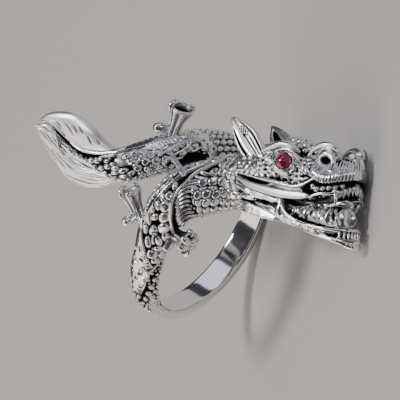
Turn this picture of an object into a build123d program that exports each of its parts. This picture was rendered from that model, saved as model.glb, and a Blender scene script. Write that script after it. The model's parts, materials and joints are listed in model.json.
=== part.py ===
"""A cast dragon ring: the body makes one turn round the finger, the head looks along it one way, the tail the other.

Finger frame while modelling: +Z runs along the finger towards the head, +Y points up through the top of the ring,
+X to the smooth side of the shank. At the end the ring is turned on to the side that it lies on.
"""

from build123d import *
from math import sin, cos, radians
import os

# The hole for the finger and the smooth part of the shank.
FINGER_DIAMETER = 18.0
SHANK_WIDTH = 2.8
SHANK_THICKNESS = 1.15

# The body as it leaves the shank: the neck that carries the head and the thinner stretch that carries the tail.
NECK_DIAMETER = 6.0
LOIN_DIAMETER = 4.2
BODY_CLIMB = 10.0

# The head, from the end of the neck to the snout, and its two jaws.
HEAD_LENGTH = 18.6
HEAD_WIDTH = 6.4
HEAD_HEIGHT = 5.6
JAW_LENGTH = 20.0
JAW_DEPTH = 4.8
HEAD_PITCH = 25.0
HEAD_YAW = 9.8
HEAD_ROLL = -15.4

EAR_LENGTH = 5.6
EAR_WIDTH = 3.3
EAR_THICKNESS = 1.0
NOSTRIL_DIAMETER = 2.7
NOSTRIL_HOLE = 1.2
LIP_THICKNESS = 0.85
FANG_LENGTH = 1.3
TOOTH_LENGTH = 0.6
TOOTH_DIAMETER = 0.52

# The round ruby of each eye and the collar that holds it.
EYE_DIAMETER = 1.75
EYE_DOME = 0.62
EYE_GIRDLE = 0.35
SETTING_CLEARANCE = 0.05
COLLAR_WALL = 0.32

# The plume at the end of the tail: a core between an upper and a lower leaf.
TAIL_LENGTH = 12.0
LEAF_HEIGHT = 3.3
LEAF_THICKNESS = 1.3
TAIL_CORE_DIAMETER = 3.6

# Paws, struts and the beads of the tail.
PAW_LENGTH = 3.3
PAW_DIAMETER = 2.5
STRUT_DIAMETER = 0.48
BEAD_DIAMETER = 0.8

BORE_RADIUS = FINGER_DIAMETER / 2
SHANK_MIDDLE = -SHANK_WIDTH / 2


def around(turn, radius, climb):
    """A point at an angle round the finger, counted from +X towards +Y."""
    return Vector(radius * cos(radians(turn)), radius * sin(radians(turn)), climb)


def oval(centre, along, upward, half_up, half_across):
    """An oval section square to the way that a strand runs."""
    along = along.normalized()
    upward = (upward - along * upward.dot(along)).normalized()
    return Plane(origin=centre, x_dir=upward, z_dir=along) * Ellipse(half_up, half_across)


def tube(points, halves, upward):
    """A loft through oval sections: one pair of half sizes for each point."""
    sections = []
    for number, (centre, (half_up, half_across)) in enumerate(zip(points, halves)):
        before = points[max(number - 1, 0)]
        after = points[min(number + 1, len(points) - 1)]
        sections.append(oval(centre, after - before, upward(centre), half_up, half_across))
    return loft(sections)


# Each row is one section of the body. The turn is in degrees round the finger, from the tail end to the neck.
# The lift is the middle of the section above the bore's wall and half_up half its depth, as shares of size, and
# half_across half its breadth. The climb runs along the finger, as a share of BODY_CLIMB from the shank's middle.
LOIN_ROWS = [
    # turn, lift, climb, half_up, half_across: shares of LOIN_DIAMETER
    (141.8, 0.52, -0.706, 0.46, 0.46),
    (133.0, 0.52, -0.555, 0.49, 0.49),
    (121.3, 0.55, -0.387, 0.50, 0.50),
    (109.5, 0.55, -0.227, 0.50, 0.49),
    (97.0, 0.45, -0.075, 0.49, 0.46),
    (84.0, 0.31, -0.012, 0.44, 0.43),
    (70.0, 0.17, 0.0, 0.37, 0.40),
]
SHANK_ROWS = [
    # turn, lift, climb, half_up, half_across: shares of SHANK_THICKNESS, and of SHANK_WIDTH for half_across
    (52.0, 0.20, 0.0, 1.20, 0.52),
    (32.0, 0.05, 0.0, 1.06, 0.46),
    (10.0, 0.05, 0.0, 1.06, 0.46),
    (-15.0, 0.05, 0.0, 1.06, 0.46),
    (-45.0, 0.05, 0.0, 1.06, 0.46),
    (-75.0, 0.05, 0.0, 1.06, 0.46),
    (-98.0, 0.05, 0.0, 1.06, 0.48),
    (-115.0, 0.05, 0.0, 1.12, 0.54),
    (-135.0, 0.12, 0.0, 1.32, 0.57),
    (-155.0, 0.30, 0.008, 1.52, 0.59),
]
NECK_ROWS = [
    # turn, lift, climb, half_up, half_across: shares of NECK_DIAMETER
    (-170.0, 0.115, 0.022, 0.30, 0.29),
    (-183.0, 0.165, 0.027, 0.305, 0.30),
    (-192.0, 0.230, 0.020, 0.32, 0.32),
    (-202.2, 0.315, 0.028, 0.345, 0.365),
    (-213.5, 0.430, 0.076, 0.430, 0.430),
    (-223.0, 0.500, 0.155, 0.480, 0.475),
    (-231.5, 0.550, 0.300, 0.500, 0.490),
    (-242.6, 0.585, 0.502, 0.508, 0.490),
]


def body_stations():
    """The middle and the half sizes of every section, from the tail end to the neck."""
    points = []
    halves = []
    for rows, depth, breadth in (
        (LOIN_ROWS, LOIN_DIAMETER, LOIN_DIAMETER),
        (SHANK_ROWS, SHANK_THICKNESS, SHANK_WIDTH),
        (NECK_ROWS, NECK_DIAMETER, NECK_DIAMETER),
    ):
        for turn, lift, climb, half_up, half_across in rows:
            points.append(around(turn, BORE_RADIUS + lift * depth, SHANK_MIDDLE + climb * BODY_CLIMB))
            halves.append((half_up * depth, half_across * breadth))
    return points, halves


def away_from_finger(point):
    return Vector(point.X, point.Y, 0)


body_points, body_halves = body_stations()
tail_root = body_points[0]
neck_end = body_points[-1]
first_neck = len(LOIN_ROWS) + len(SHANK_ROWS)

# The head's own frame: x forwards to the snout, y to its left, z up. It looks along the finger, then is raised by
# its pitch, turned outwards by its yaw and rolled about its own line of sight.
head_forward = Vector(
    -sin(radians(HEAD_YAW)) * cos(radians(HEAD_PITCH)),
    sin(radians(HEAD_PITCH)),
    cos(radians(HEAD_YAW)) * cos(radians(HEAD_PITCH)),
)
head_upright = (Vector(0, 1, 0) - head_forward * head_forward.Y).normalized()
head_frame = Plane(origin=neck_end, x_dir=head_forward, z_dir=head_upright).location * Rot(HEAD_ROLL, 0, 0)


def in_head(forward, left, up):
    """A point of the head's frame, in the finger frame."""
    return (head_frame * Pos(forward, left, up)).position


# The body's last section, inside the head: forward of HEAD_LENGTH, up of HEAD_HEIGHT, half sizes of NECK_DIAMETER.
NAPE_ROW = (0.14, 0.10, 0.42, 0.40)
nape = in_head(NAPE_ROW[0] * HEAD_LENGTH, 0, NAPE_ROW[1] * HEAD_HEIGHT)

# The tail hangs on the first body section: its core tapers back along the finger between two leaves.
TAIL_CORE_ROWS = [
    # along of TAIL_LENGTH, rise of LEAF_HEIGHT, half size of TAIL_CORE_DIAMETER, from the tip to the root
    (0.97, -0.32, 0.06),
    (0.86, -0.20, 0.13),
    (0.68, -0.29, 0.20),
    (0.50, -0.34, 0.27),
    (0.32, -0.34, 0.35),
    (0.17, -0.24, 0.44),
]
TAIL_SWING = 0.06


def tail_point(along, rise, outwards=0.0):
    """A point of the tail, counted back from its root along the finger."""
    return tail_root + Vector(-outwards, rise * LEAF_HEIGHT, -along * TAIL_LENGTH)


def whole_body():
    """Tail core, loin, shank and neck as one strand, lofted from the tip of the tail to the nape."""
    points = [tail_point(a, r, TAIL_SWING * a * TAIL_LENGTH) for a, r, _ in TAIL_CORE_ROWS]
    halves = [(s * TAIL_CORE_DIAMETER, s * TAIL_CORE_DIAMETER) for _, _, s in TAIL_CORE_ROWS]
    points += body_points + [nape]
    halves += body_halves + [(NAPE_ROW[2] * NECK_DIAMETER, NAPE_ROW[3] * NECK_DIAMETER)]
    return tube(points, halves, away_from_finger)


BAND_START = -150.0
BAND_END = 82.0
BAND_ROUNDING = 0.3


def band():
    """The smooth band: a rounded bar bent round the finger, whose ends die into the thicker body."""
    depth = SHANK_THICKNESS + BAND_ROUNDING / 2
    middle = BORE_RADIUS + SHANK_THICKNESS - depth / 2
    section = Plane.XZ * Pos(middle, SHANK_MIDDLE) * RectangleRounded(depth, SHANK_WIDTH, BAND_ROUNDING)
    return Rot(0, 0, BAND_START) * revolve(section, Axis.Z, BAND_END - BAND_START)


def head_section(forward, half_width, top, bottom):
    """An upright oval section of the head or jaw, in the head's frame."""
    place = Plane(origin=(forward, 0, (top + bottom) / 2), x_dir=(0, 1, 0), z_dir=(1, 0, 0))
    return place * Ellipse(half_width, (top - bottom) / 2)


SKULL_ROWS = [
    # forward of HEAD_LENGTH, half width of HEAD_WIDTH, top and bottom of HEAD_HEIGHT
    (0.06, 0.42, 0.54, -0.46),
    (0.18, 0.48, 0.82, -0.16),
    (0.34, 0.50, 0.97, -0.14),
    (0.48, 0.47, 0.98, -0.16),
    (0.61, 0.43, 0.86, -0.14),
    (0.73, 0.40, 0.82, -0.05),
    (0.84, 0.40, 0.84, 0.06),
    (0.93, 0.31, 0.74, 0.20),
    (0.98, 0.18, 0.62, 0.32),
    (1.00, 0.06, 0.52, 0.42),
]
JAW_ROWS = [
    # forward of JAW_LENGTH, half width of HEAD_WIDTH, top and bottom of JAW_DEPTH
    (0.18, 0.40, -0.10, -0.72),
    (0.40, 0.42, -0.33, -0.75),
    (0.55, 0.41, -0.48, -0.82),
    (0.70, 0.38, -0.62, -0.90),
    (0.85, 0.35, -0.66, -0.99),
    (0.95, 0.25, -0.62, -1.00),
    (0.99, 0.14, -0.66, -0.94),
    (1.00, 0.05, -0.74, -0.86),
]
TONGUE_ROWS = [
    # forward of JAW_LENGTH, half width of HEAD_WIDTH, top and bottom of JAW_DEPTH
    (0.42, 0.20, -0.32, -0.55),
    (0.58, 0.27, -0.24, -0.66),
    (0.73, 0.28, -0.20, -0.74),
    (0.85, 0.25, -0.12, -0.76),
    (0.91, 0.17, -0.14, -0.72),
    (0.935, 0.06, -0.26, -0.60),
]


# The knob under the chin: forward of JAW_LENGTH, up of JAW_DEPTH, diameter of HEAD_WIDTH.
CHIN_ROW = (0.945, -1.02, 0.288)
CHIN_FLATNESS = 0.75


def mirrored(shape):
    """A piece of the head on its right side and its twin on the left."""
    return [shape, mirror(shape, about=Plane.XZ)]


def lofted_head():
    """Skull, lower jaw and tongue, in the head's frame."""
    skull = loft([head_section(f * HEAD_LENGTH, w * HEAD_WIDTH, t * HEAD_HEIGHT, b * HEAD_HEIGHT)
                  for f, w, t, b in SKULL_ROWS])
    jaw = loft([head_section(f * JAW_LENGTH, w * HEAD_WIDTH, t * JAW_DEPTH, b * JAW_DEPTH)
                for f, w, t, b in JAW_ROWS])
    tongue = loft([head_section(f * JAW_LENGTH, w * HEAD_WIDTH, t * JAW_DEPTH, b * JAW_DEPTH)
                   for f, w, t, b in TONGUE_ROWS])
    along, rise, diameter = CHIN_ROW
    ball = scale(Sphere(diameter * HEAD_WIDTH / 2), by=(1, 1, CHIN_FLATNESS))
    chin = Pos(along * JAW_LENGTH, 0, rise * JAW_DEPTH) * ball
    return [skull, jaw, tongue, chin]


UPPER_LIP_ROWS = [
    # forward of HEAD_LENGTH, side of half the HEAD_WIDTH, up of HEAD_HEIGHT, thickness of LIP_THICKNESS
    (0.17, -0.93, 0.06, 0.35),
    (0.29, -0.98, -0.05, 0.80),
    (0.44, -1.00, -0.13, 1.05),
    (0.61, -0.97, -0.17, 1.15),
    (0.76, -0.88, -0.06, 0.85),
    (0.88, -0.72, 0.08, 0.55),
    (0.955, -0.42, 0.22, 0.50),
    (0.985, 0.0, 0.30, 0.50),
]
LOWER_LIP_ROWS = [
    # forward of JAW_LENGTH, side of half the HEAD_WIDTH, up of JAW_DEPTH, thickness of LIP_THICKNESS
    (0.48, -0.88, -0.36, 0.50),
    (0.58, -0.86, -0.52, 0.55),
    (0.69, -0.82, -0.66, 0.50),
    (0.82, -0.76, -0.72, 0.50),
    (0.93, -0.55, -0.68, 0.50),
    (0.98, 0.0, -0.60, 0.50),
]


LIP_FLATNESS = 0.8


def lip(rows, length, depth):
    """A rounded band along the edge of a jaw: up its right side, round its front and back down the left."""
    other_side = [(f, -s, u, k) for f, s, u, k in reversed(rows[:-1])]
    points = [Vector(f * length, s * HEAD_WIDTH / 2, u * depth) for f, s, u, _ in rows + other_side]
    halves = [(k * LIP_THICKNESS / 2, LIP_FLATNESS * k * LIP_THICKNESS / 2) for _, _, _, k in rows + other_side]
    return tube(points, halves, lambda point: Vector(0, 0, 1))


EAR_ROWS = [
    # along of EAR_LENGTH, half width of EAR_WIDTH, half thickness of EAR_THICKNESS
    (-0.12, 0.36, 0.55),
    (0.10, 0.47, 0.52),
    (0.35, 0.52, 0.46),
    (0.62, 0.40, 0.40),
    (0.84, 0.22, 0.30),
    (1.00, 0.05, 0.12),
]
EAR_FOOT = (0.275, -0.40, 0.58)
EAR_LEAN = -50.0
EAR_SPLAY = 10.0
# The hollow in its face: middle from the foot of EAR_LENGTH and outwards of EAR_THICKNESS, then its breadth of
# EAR_WIDTH, its depth of EAR_THICKNESS and its length of EAR_LENGTH.
EAR_HOLLOW = (0.42, 0.55, 0.62, 1.0, 0.72)


def ear():
    """A pointed leaf with a hollowed face, leaning back and outwards."""
    rows = [(a * EAR_LENGTH, w * EAR_WIDTH, t * EAR_THICKNESS) for a, w, t in EAR_ROWS]
    leaf = loft([Plane(origin=(0, 0, a), x_dir=(1, 0, 0), z_dir=(0, 0, 1)) * Ellipse(w, t) for a, w, t in rows])
    along, outwards, breadth, depth, length = EAR_HOLLOW
    hollow = Pos(0, -outwards * EAR_THICKNESS, along * EAR_LENGTH) * scale(
        Sphere(0.5), by=(breadth * EAR_WIDTH, depth * EAR_THICKNESS, length * EAR_LENGTH)
    )
    foot = Pos(EAR_FOOT[0] * HEAD_LENGTH, EAR_FOOT[1] * HEAD_WIDTH, EAR_FOOT[2] * HEAD_HEIGHT)
    return foot * Rot(EAR_SPLAY, 0, 0) * Rot(0, EAR_LEAN, 0) * (leaf - hollow)


# The right eye, as shares of the head, and the way that it looks. The collar stands proud of the face.
EYE_PLACE = (0.512, -0.43, 0.515)
EYE_LOOK = Vector(0.30, -0.90, 0.32)
COLLAR_DEPTH = 1.3
COLLAR_OVER_GIRDLE = 0.15


def eye_frame():
    """A frame on the seat of the right eye's stone, its z axis pointing out of the head."""
    spot = (EYE_PLACE[0] * HEAD_LENGTH, EYE_PLACE[1] * HEAD_WIDTH, EYE_PLACE[2] * HEAD_HEIGHT)
    return Plane(origin=spot, z_dir=EYE_LOOK)


pocket_radius = EYE_DIAMETER / 2 + SETTING_CLEARANCE
collar_rise = EYE_GIRDLE + COLLAR_OVER_GIRDLE * EYE_DOME


def eye_collar():
    """The round wall that holds the stone, sunk in the head."""
    height = COLLAR_DEPTH + collar_rise
    return eye_frame().location * Pos(0, 0, collar_rise - height / 2) * Cylinder(pocket_radius + COLLAR_WALL, height)


def eye_pocket():
    """The room that the stone takes in its collar, open to the outside."""
    height = EYE_GIRDLE + EYE_DOME + EYE_DIAMETER
    return eye_frame().location * Pos(0, 0, height / 2 - SETTING_CLEARANCE) * Cylinder(pocket_radius, height)


def eye_stone():
    """A cabochon: a short round girdle under a smooth dome."""
    radius = EYE_DIAMETER / 2
    dome_radius = (radius**2 + EYE_DOME**2) / (2 * EYE_DOME)
    ball = Pos(0, 0, EYE_GIRDLE + EYE_DOME - dome_radius) * Sphere(dome_radius)
    height = EYE_GIRDLE + EYE_DOME
    blank = Pos(0, 0, height / 2) * Cylinder(radius, height)
    return eye_frame().location * (blank & ball)


BROW_ROWS = [
    # forward, side of half the width, up, half height and half thickness of NOSTRIL_DIAMETER
    (0.33, -0.88, 0.66, 0.08, 0.12),
    (0.40, -0.86, 0.80, 0.20, 0.22),
    (0.46, -0.80, 0.86, 0.24, 0.26),
    (0.53, -0.74, 0.83, 0.19, 0.22),
    (0.59, -0.70, 0.73, 0.09, 0.12),
]


def brow():
    """The smooth arch over an eye."""
    points = [Vector(f * HEAD_LENGTH, s * HEAD_WIDTH / 2, u * HEAD_HEIGHT) for f, s, u, _, _ in BROW_ROWS]
    halves = [(a * NOSTRIL_DIAMETER, b * NOSTRIL_DIAMETER) for _, _, _, a, b in BROW_ROWS]
    return tube(points, halves, lambda point: Vector(0, 0, 1))


NOSTRIL_PLACE = (0.81, 0.29, 0.75)
NOSTRIL_LOOK = Vector(0.45, -0.85, -0.15)
NOSTRIL_SHAPE = (1.05, 0.85, 0.90)
nostril_spot = (NOSTRIL_PLACE[0] * HEAD_LENGTH, -NOSTRIL_PLACE[1] * HEAD_WIDTH, NOSTRIL_PLACE[2] * HEAD_HEIGHT)


def nostril():
    """The swollen bulb of the right nostril."""
    return Pos(*nostril_spot) * scale(Sphere(NOSTRIL_DIAMETER / 2), by=NOSTRIL_SHAPE)


def nostril_hole():
    """The hole in the right nostril: it starts at the bulb's middle and opens outwards."""
    place = Plane(origin=nostril_spot, z_dir=NOSTRIL_LOOK).location
    return place * Pos(0, 0, NOSTRIL_DIAMETER / 2) * Cylinder(NOSTRIL_HOLE / 2, NOSTRIL_DIAMETER)


TEETH_ACROSS = 6
TOOTH_ARC = 62.0
TOOTH_POINT = 0.3
ARCH_HALF_WIDTH = 0.25
# Each jaw's arch of small teeth: where its sides start and how far its middle lies in front of them, then the same
# upwards, as shares of that jaw's length and height.
UPPER_ARCH = (0.85, 0.11, 0.20, 0.16)
LOWER_ARCH = (0.83, 0.11, -0.70, 0.04)
# The fang on each side of a jaw: forward, side of HEAD_WIDTH, up, and its diameter as a share of TOOTH_DIAMETER.
UPPER_FANG = (0.90, 0.29, 0.04, 1.35)
LOWER_FANG = (0.84, 0.29, -0.66, 1.20)


def tooth(length, width, points_down):
    """A pointed tooth whose root is sunk in its jaw."""
    cone = Cone(width / 2, TOOTH_POINT * width / 2, length + TOOTH_LENGTH)
    return Rot(180, 0, 0) * cone if points_down else cone


def jaw_teeth(arch, fang, length, height, points_down):
    """The small teeth round the front of one jaw, with a fang each side of them."""
    teeth = []
    start, ahead, base, rise = arch
    for number in range(TEETH_ACROSS):
        angle = radians(TOOTH_ARC * (2 * number / (TEETH_ACROSS - 1) - 1))
        along = (start + ahead * cos(angle)) * length
        up = (base + rise * cos(angle)) * height
        place = Pos(along, ARCH_HALF_WIDTH * HEAD_WIDTH * sin(angle), up)
        teeth.append(place * tooth(TOOTH_LENGTH, TOOTH_DIAMETER, points_down))
    along, side, up, diameter = fang
    for way in (-1, 1):
        place = Pos(along * length, way * side * HEAD_WIDTH, up * height)
        teeth.append(place * tooth(FANG_LENGTH, diameter * TOOTH_DIAMETER, points_down))
    return teeth


FOREHEAD_ROWS = [
    # forward, side of half the width and up, and the diameter of NOSTRIL_DIAMETER
    (0.45, -0.28, 0.99, 0.42),
    (0.45, 0.28, 0.99, 0.42),
    (0.53, -0.34, 0.94, 0.40),
    (0.53, 0.34, 0.94, 0.40),
    (0.51, 0.0, 0.99, 0.44),
    (0.59, 0.0, 0.90, 0.40),
    (0.60, -0.32, 0.84, 0.34),
    (0.60, 0.32, 0.84, 0.34),
]


def forehead_curls():
    """The cluster of small curls between the brows."""
    return [
        Pos(f * HEAD_LENGTH, s * HEAD_WIDTH / 2, u * HEAD_HEIGHT) * Sphere(d * NOSTRIL_DIAMETER / 2)
        for f, s, u, d in FOREHEAD_ROWS
    ]


UPPER_LEAF_ROWS = [
    # along of TAIL_LENGTH, rise and half height of LEAF_HEIGHT, half thickness of LEAF_THICKNESS
    (0.10, 0.28, 0.12, 0.30),
    (0.26, 0.26, 0.24, 0.44),
    (0.375, 0.21, 0.41, 0.50),
    (0.515, 0.15, 0.52, 0.50),
    (0.67, 0.13, 0.49, 0.46),
    (0.82, 0.04, 0.30, 0.38),
    (0.94, -0.20, 0.11, 0.20),
]
LOWER_LEAF_ROWS = [
    # along of TAIL_LENGTH, rise and half height of LEAF_HEIGHT, half thickness of LEAF_THICKNESS
    (0.015, -0.48, 0.12, 0.30),
    (0.134, -0.76, 0.32, 0.44),
    (0.283, -0.96, 0.48, 0.50),
    (0.46, -1.02, 0.55, 0.50),
    (0.647, -0.88, 0.45, 0.46),
    (0.83, -0.66, 0.30, 0.38),
    (0.97, -0.50, 0.11, 0.20),
]
LEAF_OUTWARDS = 0.35
TAIL_BEADS = 7
# The beads of the groove: where the row starts and ends along TAIL_LENGTH, its rise at both ends of LEAF_HEIGHT, and
# the size of the last bead as a share of the first.
BEAD_ROW = (0.12, 0.57, -0.30, -0.42, 0.58)
BEAD_OUTWARDS = 0.30
CORE_TAPER = 0.8


def tail_leaves():
    """The two leaves of the plume and the beads in the groove between them."""
    pieces = []
    for rows in (UPPER_LEAF_ROWS, LOWER_LEAF_ROWS):
        points = [tail_point(a, r, LEAF_OUTWARDS * LEAF_THICKNESS) for a, r, _, _ in rows]
        halves = [(t * LEAF_THICKNESS, h * LEAF_HEIGHT) for _, _, h, t in rows]
        pieces.append(tube(points, halves, lambda point: Vector(-1, 0, 0)))
    start, end, first_rise, last_rise, last_size = BEAD_ROW
    for number in range(TAIL_BEADS):
        share = number / (TAIL_BEADS - 1)
        along = start + (end - start) * share
        rise = first_rise + (last_rise - first_rise) * share
        size = BEAD_DIAMETER * (1 + (last_size - 1) * share)
        centre = tail_point(along, rise, BEAD_OUTWARDS * TAIL_CORE_DIAMETER * (1 - CORE_TAPER * along))
        pieces.append(Pos(centre) * Sphere(size / 2))
    return pieces


TOES = 4
FIRST_TOE = 30.0
# A paw that stands along z: each piece's distance from the middle as a share of the paw's width and its height as a
# share of the length, its tilt, its bottom and top radius as shares of the width, and its length.
LEG_ROW = (0.0, 0.35, 0.0, 0.30, 0.42, 0.90)
TOE_ROW = (0.33, 0.42, 9.0, 0.10, 0.15, 0.86)
CLAW_ROW = (0.30, 0.97, -62.0, 0.13, 0.04, 0.38)
KNUCKLE = (0.44, 0.86, 0.32)
THUMB = (0.50, 0.10, 0.40)
THUMB_SHAPE = (1.9, 1.0, 0.9)


def paw_cone(row, length, width):
    outwards, up, tilt, bottom, top, long_share = row
    return Pos(outwards * width, 0, up * length) * Rot(0, tilt, 0) * Cone(
        bottom * width, top * width, long_share * length
    )


def paw_ball(row, length, width, shape=(1, 1, 1)):
    outwards, up, diameter = row
    return Pos(outwards * width, 0, up * length) * scale(Sphere(diameter * width / 2), by=shape)


def paw(length, width):
    """A fluted, flared foot with toes that curl over its rim and a thumb at its base."""
    pieces = [paw_cone(LEG_ROW, length, width), paw_ball(THUMB, length, width, THUMB_SHAPE)]
    for number in range(TOES):
        turn = Rot(0, 0, FIRST_TOE + 360 * number / TOES)
        pieces.append(turn * paw_cone(TOE_ROW, length, width))
        pieces.append(turn * paw_cone(CLAW_ROW, length, width))
        pieces.append(turn * paw_ball(KNUCKLE, length, width))
    return pieces


# Where each paw grows from: the turn round the finger, how far its foot stands from the bore's wall, its place along
# the finger from the shank's middle, the ways that it and its thumb point, and its length and width.
PAW_ROWS = [
    # turn, lift of LOIN_DIAMETER, climb of BODY_CLIMB, points to, thumb to, shares of PAW_LENGTH and PAW_DIAMETER
    (115.0, 0.92, -0.46, (0.05, 1.0, 0.0), (-0.62, 0.0, -0.78), 1.0, 1.0),
    (162.0, 0.36, -0.24, (-0.16, 0.74, -0.66), (-0.60, 0.20, -0.60), 0.95, 0.95),
    (159.0, 0.34, 0.22, (0.0, -0.30, 0.90), (-0.30, -0.85, -0.30), 0.66, 0.95),
]


def paws():
    """The three paws that show: behind on the loin, beside the shank and under the neck."""
    pieces = []
    for turn, lift, climb, points_to, thumb_to, long_share, wide_share in PAW_ROWS:
        foot = around(turn, BORE_RADIUS + lift * LOIN_DIAMETER, SHANK_MIDDLE + climb * BODY_CLIMB)
        upright = Vector(points_to).normalized()
        across = Vector(thumb_to) - upright * upright.dot(Vector(thumb_to))
        place = Plane(origin=foot, x_dir=across, z_dir=upright).location
        pieces += [place * piece for piece in paw(long_share * PAW_LENGTH, wide_share * PAW_DIAMETER)]
    return pieces


STRUT_ROWS = [
    # section of the loin, section of the neck, diameter of STRUT_DIAMETER
    (2, 6, 1.0),
    (2, 5, 0.75),
]


def rod(start, end, diameter):
    """A round bar between two points."""
    run = end - start
    place = Plane(origin=(start + end) / 2, z_dir=run).location
    return place * Cylinder(diameter / 2, run.length)


def struts():
    """The two bars that tie the loin to the neck."""
    return [
        rod(body_points[loin], body_points[first_neck + neck], share * STRUT_DIAMETER)
        for loin, neck, share in STRUT_ROWS
    ]


# How the ring lies by itself: on the smooth side of the shank, the left nostril and the tip of the jaw. The line
# that then points up is given by its turn round the finger and its slope along it. The heading turns the ring on
# the floor, from the line in which the finger would lie seen from above.
REST_TURN = 182.1
REST_SLOPE = -38.2
REST_HEADING = 120.3


def resting_place(shapes):
    """The place that lays the ring on its side, its box centred over the origin and its lowest point at nought."""
    slope = radians(REST_SLOPE)
    upward = Vector(cos(slope) * cos(radians(REST_TURN)), cos(slope) * sin(radians(REST_TURN)), sin(slope))
    finger = (Vector(0, 0, 1) - upward * upward.Z).normalized()
    heading = radians(REST_HEADING)
    ahead = finger * cos(heading) + upward.cross(finger) * sin(heading)
    turned = Plane(origin=(0, 0, 0), x_dir=ahead, z_dir=upward).location.inverse()
    box = Compound([turned * shape for shape in shapes]).bounding_box()
    middle = box.center()
    return Pos(-middle.X, -middle.Y, -box.min.Z) * turned


def main():
    head_pieces = lofted_head()
    head_pieces += [lip(UPPER_LIP_ROWS, HEAD_LENGTH, HEAD_HEIGHT), lip(LOWER_LIP_ROWS, JAW_LENGTH, JAW_DEPTH)]
    head_pieces += mirrored(ear())
    head_pieces += mirrored(eye_collar())
    head_pieces += mirrored(brow())
    head_pieces += mirrored(nostril())
    head_pieces += jaw_teeth(UPPER_ARCH, UPPER_FANG, HEAD_LENGTH, HEAD_HEIGHT, True)
    head_pieces += jaw_teeth(LOWER_ARCH, LOWER_FANG, JAW_LENGTH, JAW_DEPTH, False)
    head_pieces += forehead_curls()
    head = head_pieces[0].fuse(*head_pieces[1:])
    for cutter in mirrored(eye_pocket()) + mirrored(nostril_hole()):
        head = head - cutter
    casting = whole_body().fuse(band(), head_frame * head, *tail_leaves(), *paws(), *struts())
    casting = casting - Cylinder(BORE_RADIUS, 2 * (TAIL_LENGTH + HEAD_LENGTH))
    stone = eye_stone()
    shapes = [casting, head_frame * stone, head_frame * mirror(stone, about=Plane.XZ)]
    place = resting_place(shapes)
    hole_middle = (place * Pos(0, 0, SHANK_MIDDLE)).position
    hole_end = (place * Pos(0, 0, 0)).position
    print("finger hole: middle", hole_middle, "axis", (hole_end - hole_middle).normalized())
    os.makedirs("parts", exist_ok=True)
    for name, shape in zip(("dragon_casting", "ruby_eye_right", "ruby_eye_left"), shapes):
        print(name, "valid", shape.is_valid, "solids", len(shape.solids()), "volume", round(shape.volume, 2))
        export_step(place * shape, os.path.join("parts", name + ".step"))


main()
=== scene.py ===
# %% [markdown]
# A dragon ring in cast silver. The real ring is one casting: a smooth band under the finger turns into
# the scaled body of a dragon, whose head looks along the finger one way and whose tail points the
# other. It lies on its side. The relief is too fine for hand-placed faces, so this lesson carves it
# with arrays of numbers: each strand is a fine grid wrapped round a curve, and each bump, groove or
# scale is a small height added to that grid.

# %% Load the frame
import json
import bpy
import numpy as np
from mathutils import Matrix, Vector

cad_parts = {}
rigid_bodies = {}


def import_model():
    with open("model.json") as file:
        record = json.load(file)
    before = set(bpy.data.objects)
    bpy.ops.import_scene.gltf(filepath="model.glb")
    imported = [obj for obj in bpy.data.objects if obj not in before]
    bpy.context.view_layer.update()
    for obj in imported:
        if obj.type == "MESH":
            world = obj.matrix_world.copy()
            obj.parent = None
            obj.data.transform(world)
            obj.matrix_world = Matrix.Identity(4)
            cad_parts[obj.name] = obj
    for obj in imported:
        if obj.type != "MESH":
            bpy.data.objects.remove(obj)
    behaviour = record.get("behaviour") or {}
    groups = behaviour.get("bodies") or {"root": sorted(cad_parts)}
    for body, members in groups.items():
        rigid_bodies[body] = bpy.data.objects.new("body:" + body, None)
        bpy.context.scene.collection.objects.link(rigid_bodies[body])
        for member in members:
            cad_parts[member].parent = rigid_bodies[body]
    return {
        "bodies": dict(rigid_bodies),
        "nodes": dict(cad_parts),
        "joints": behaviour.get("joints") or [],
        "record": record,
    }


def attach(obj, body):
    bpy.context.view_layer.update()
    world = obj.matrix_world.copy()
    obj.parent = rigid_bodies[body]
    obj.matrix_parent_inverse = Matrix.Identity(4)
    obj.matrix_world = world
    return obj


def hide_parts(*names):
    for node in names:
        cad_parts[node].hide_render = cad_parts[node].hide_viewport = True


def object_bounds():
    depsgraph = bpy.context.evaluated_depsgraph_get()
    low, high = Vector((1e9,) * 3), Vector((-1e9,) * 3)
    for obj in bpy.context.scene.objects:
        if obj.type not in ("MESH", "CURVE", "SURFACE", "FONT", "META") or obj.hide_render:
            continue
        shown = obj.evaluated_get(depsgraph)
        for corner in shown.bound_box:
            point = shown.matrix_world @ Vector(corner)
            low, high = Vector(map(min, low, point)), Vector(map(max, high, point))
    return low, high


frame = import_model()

import openvdb
from mathutils import Matrix, Vector

cad_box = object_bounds()
print("CAD box in mm", [[round(1000 * c, 2) for c in corner] for corner in cad_box])

# %% [markdown]
# All sizes below are millimetres in the finger's own frame: z runs along the finger to the head, y
# through the top of the ring and x to the smooth side of the band. One rotation lays the ring on the
# floor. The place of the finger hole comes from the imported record, so nothing here has to be fitted by
# eye.

# %% From the finger's frame to the floor
MM = 0.001
BORE_RADIUS = 9.0
SHANK_WIDTH = 2.8
SHANK_THICKNESS = 1.15
SHANK_MIDDLE = -SHANK_WIDTH / 2
REST_TURN = 182.1
REST_SLOPE = -38.2
REST_HEADING = 120.3


def unit(vector):
    """The same direction with length 1, for one vector or for rows of them."""
    vector = np.asarray(vector, float)
    return vector / np.linalg.norm(vector, axis=-1, keepdims=True)


def rest_axes():
    """The floor frame's x, y and z axes, as rows in the finger's frame."""
    turn, slope, heading = np.radians([REST_TURN, REST_SLOPE, REST_HEADING])
    up = np.array([np.cos(slope) * np.cos(turn), np.cos(slope) * np.sin(turn), np.sin(slope)])
    finger = unit(np.array([0, 0, 1]) - up * up[2])
    ahead = finger * np.cos(heading) + np.cross(up, finger) * np.sin(heading)
    return np.array([ahead, np.cross(up, ahead), up])


REST_AXES = rest_axes()
hole = np.array(frame["record"]["mounts"][0]["pos_m"]) / MM


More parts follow.
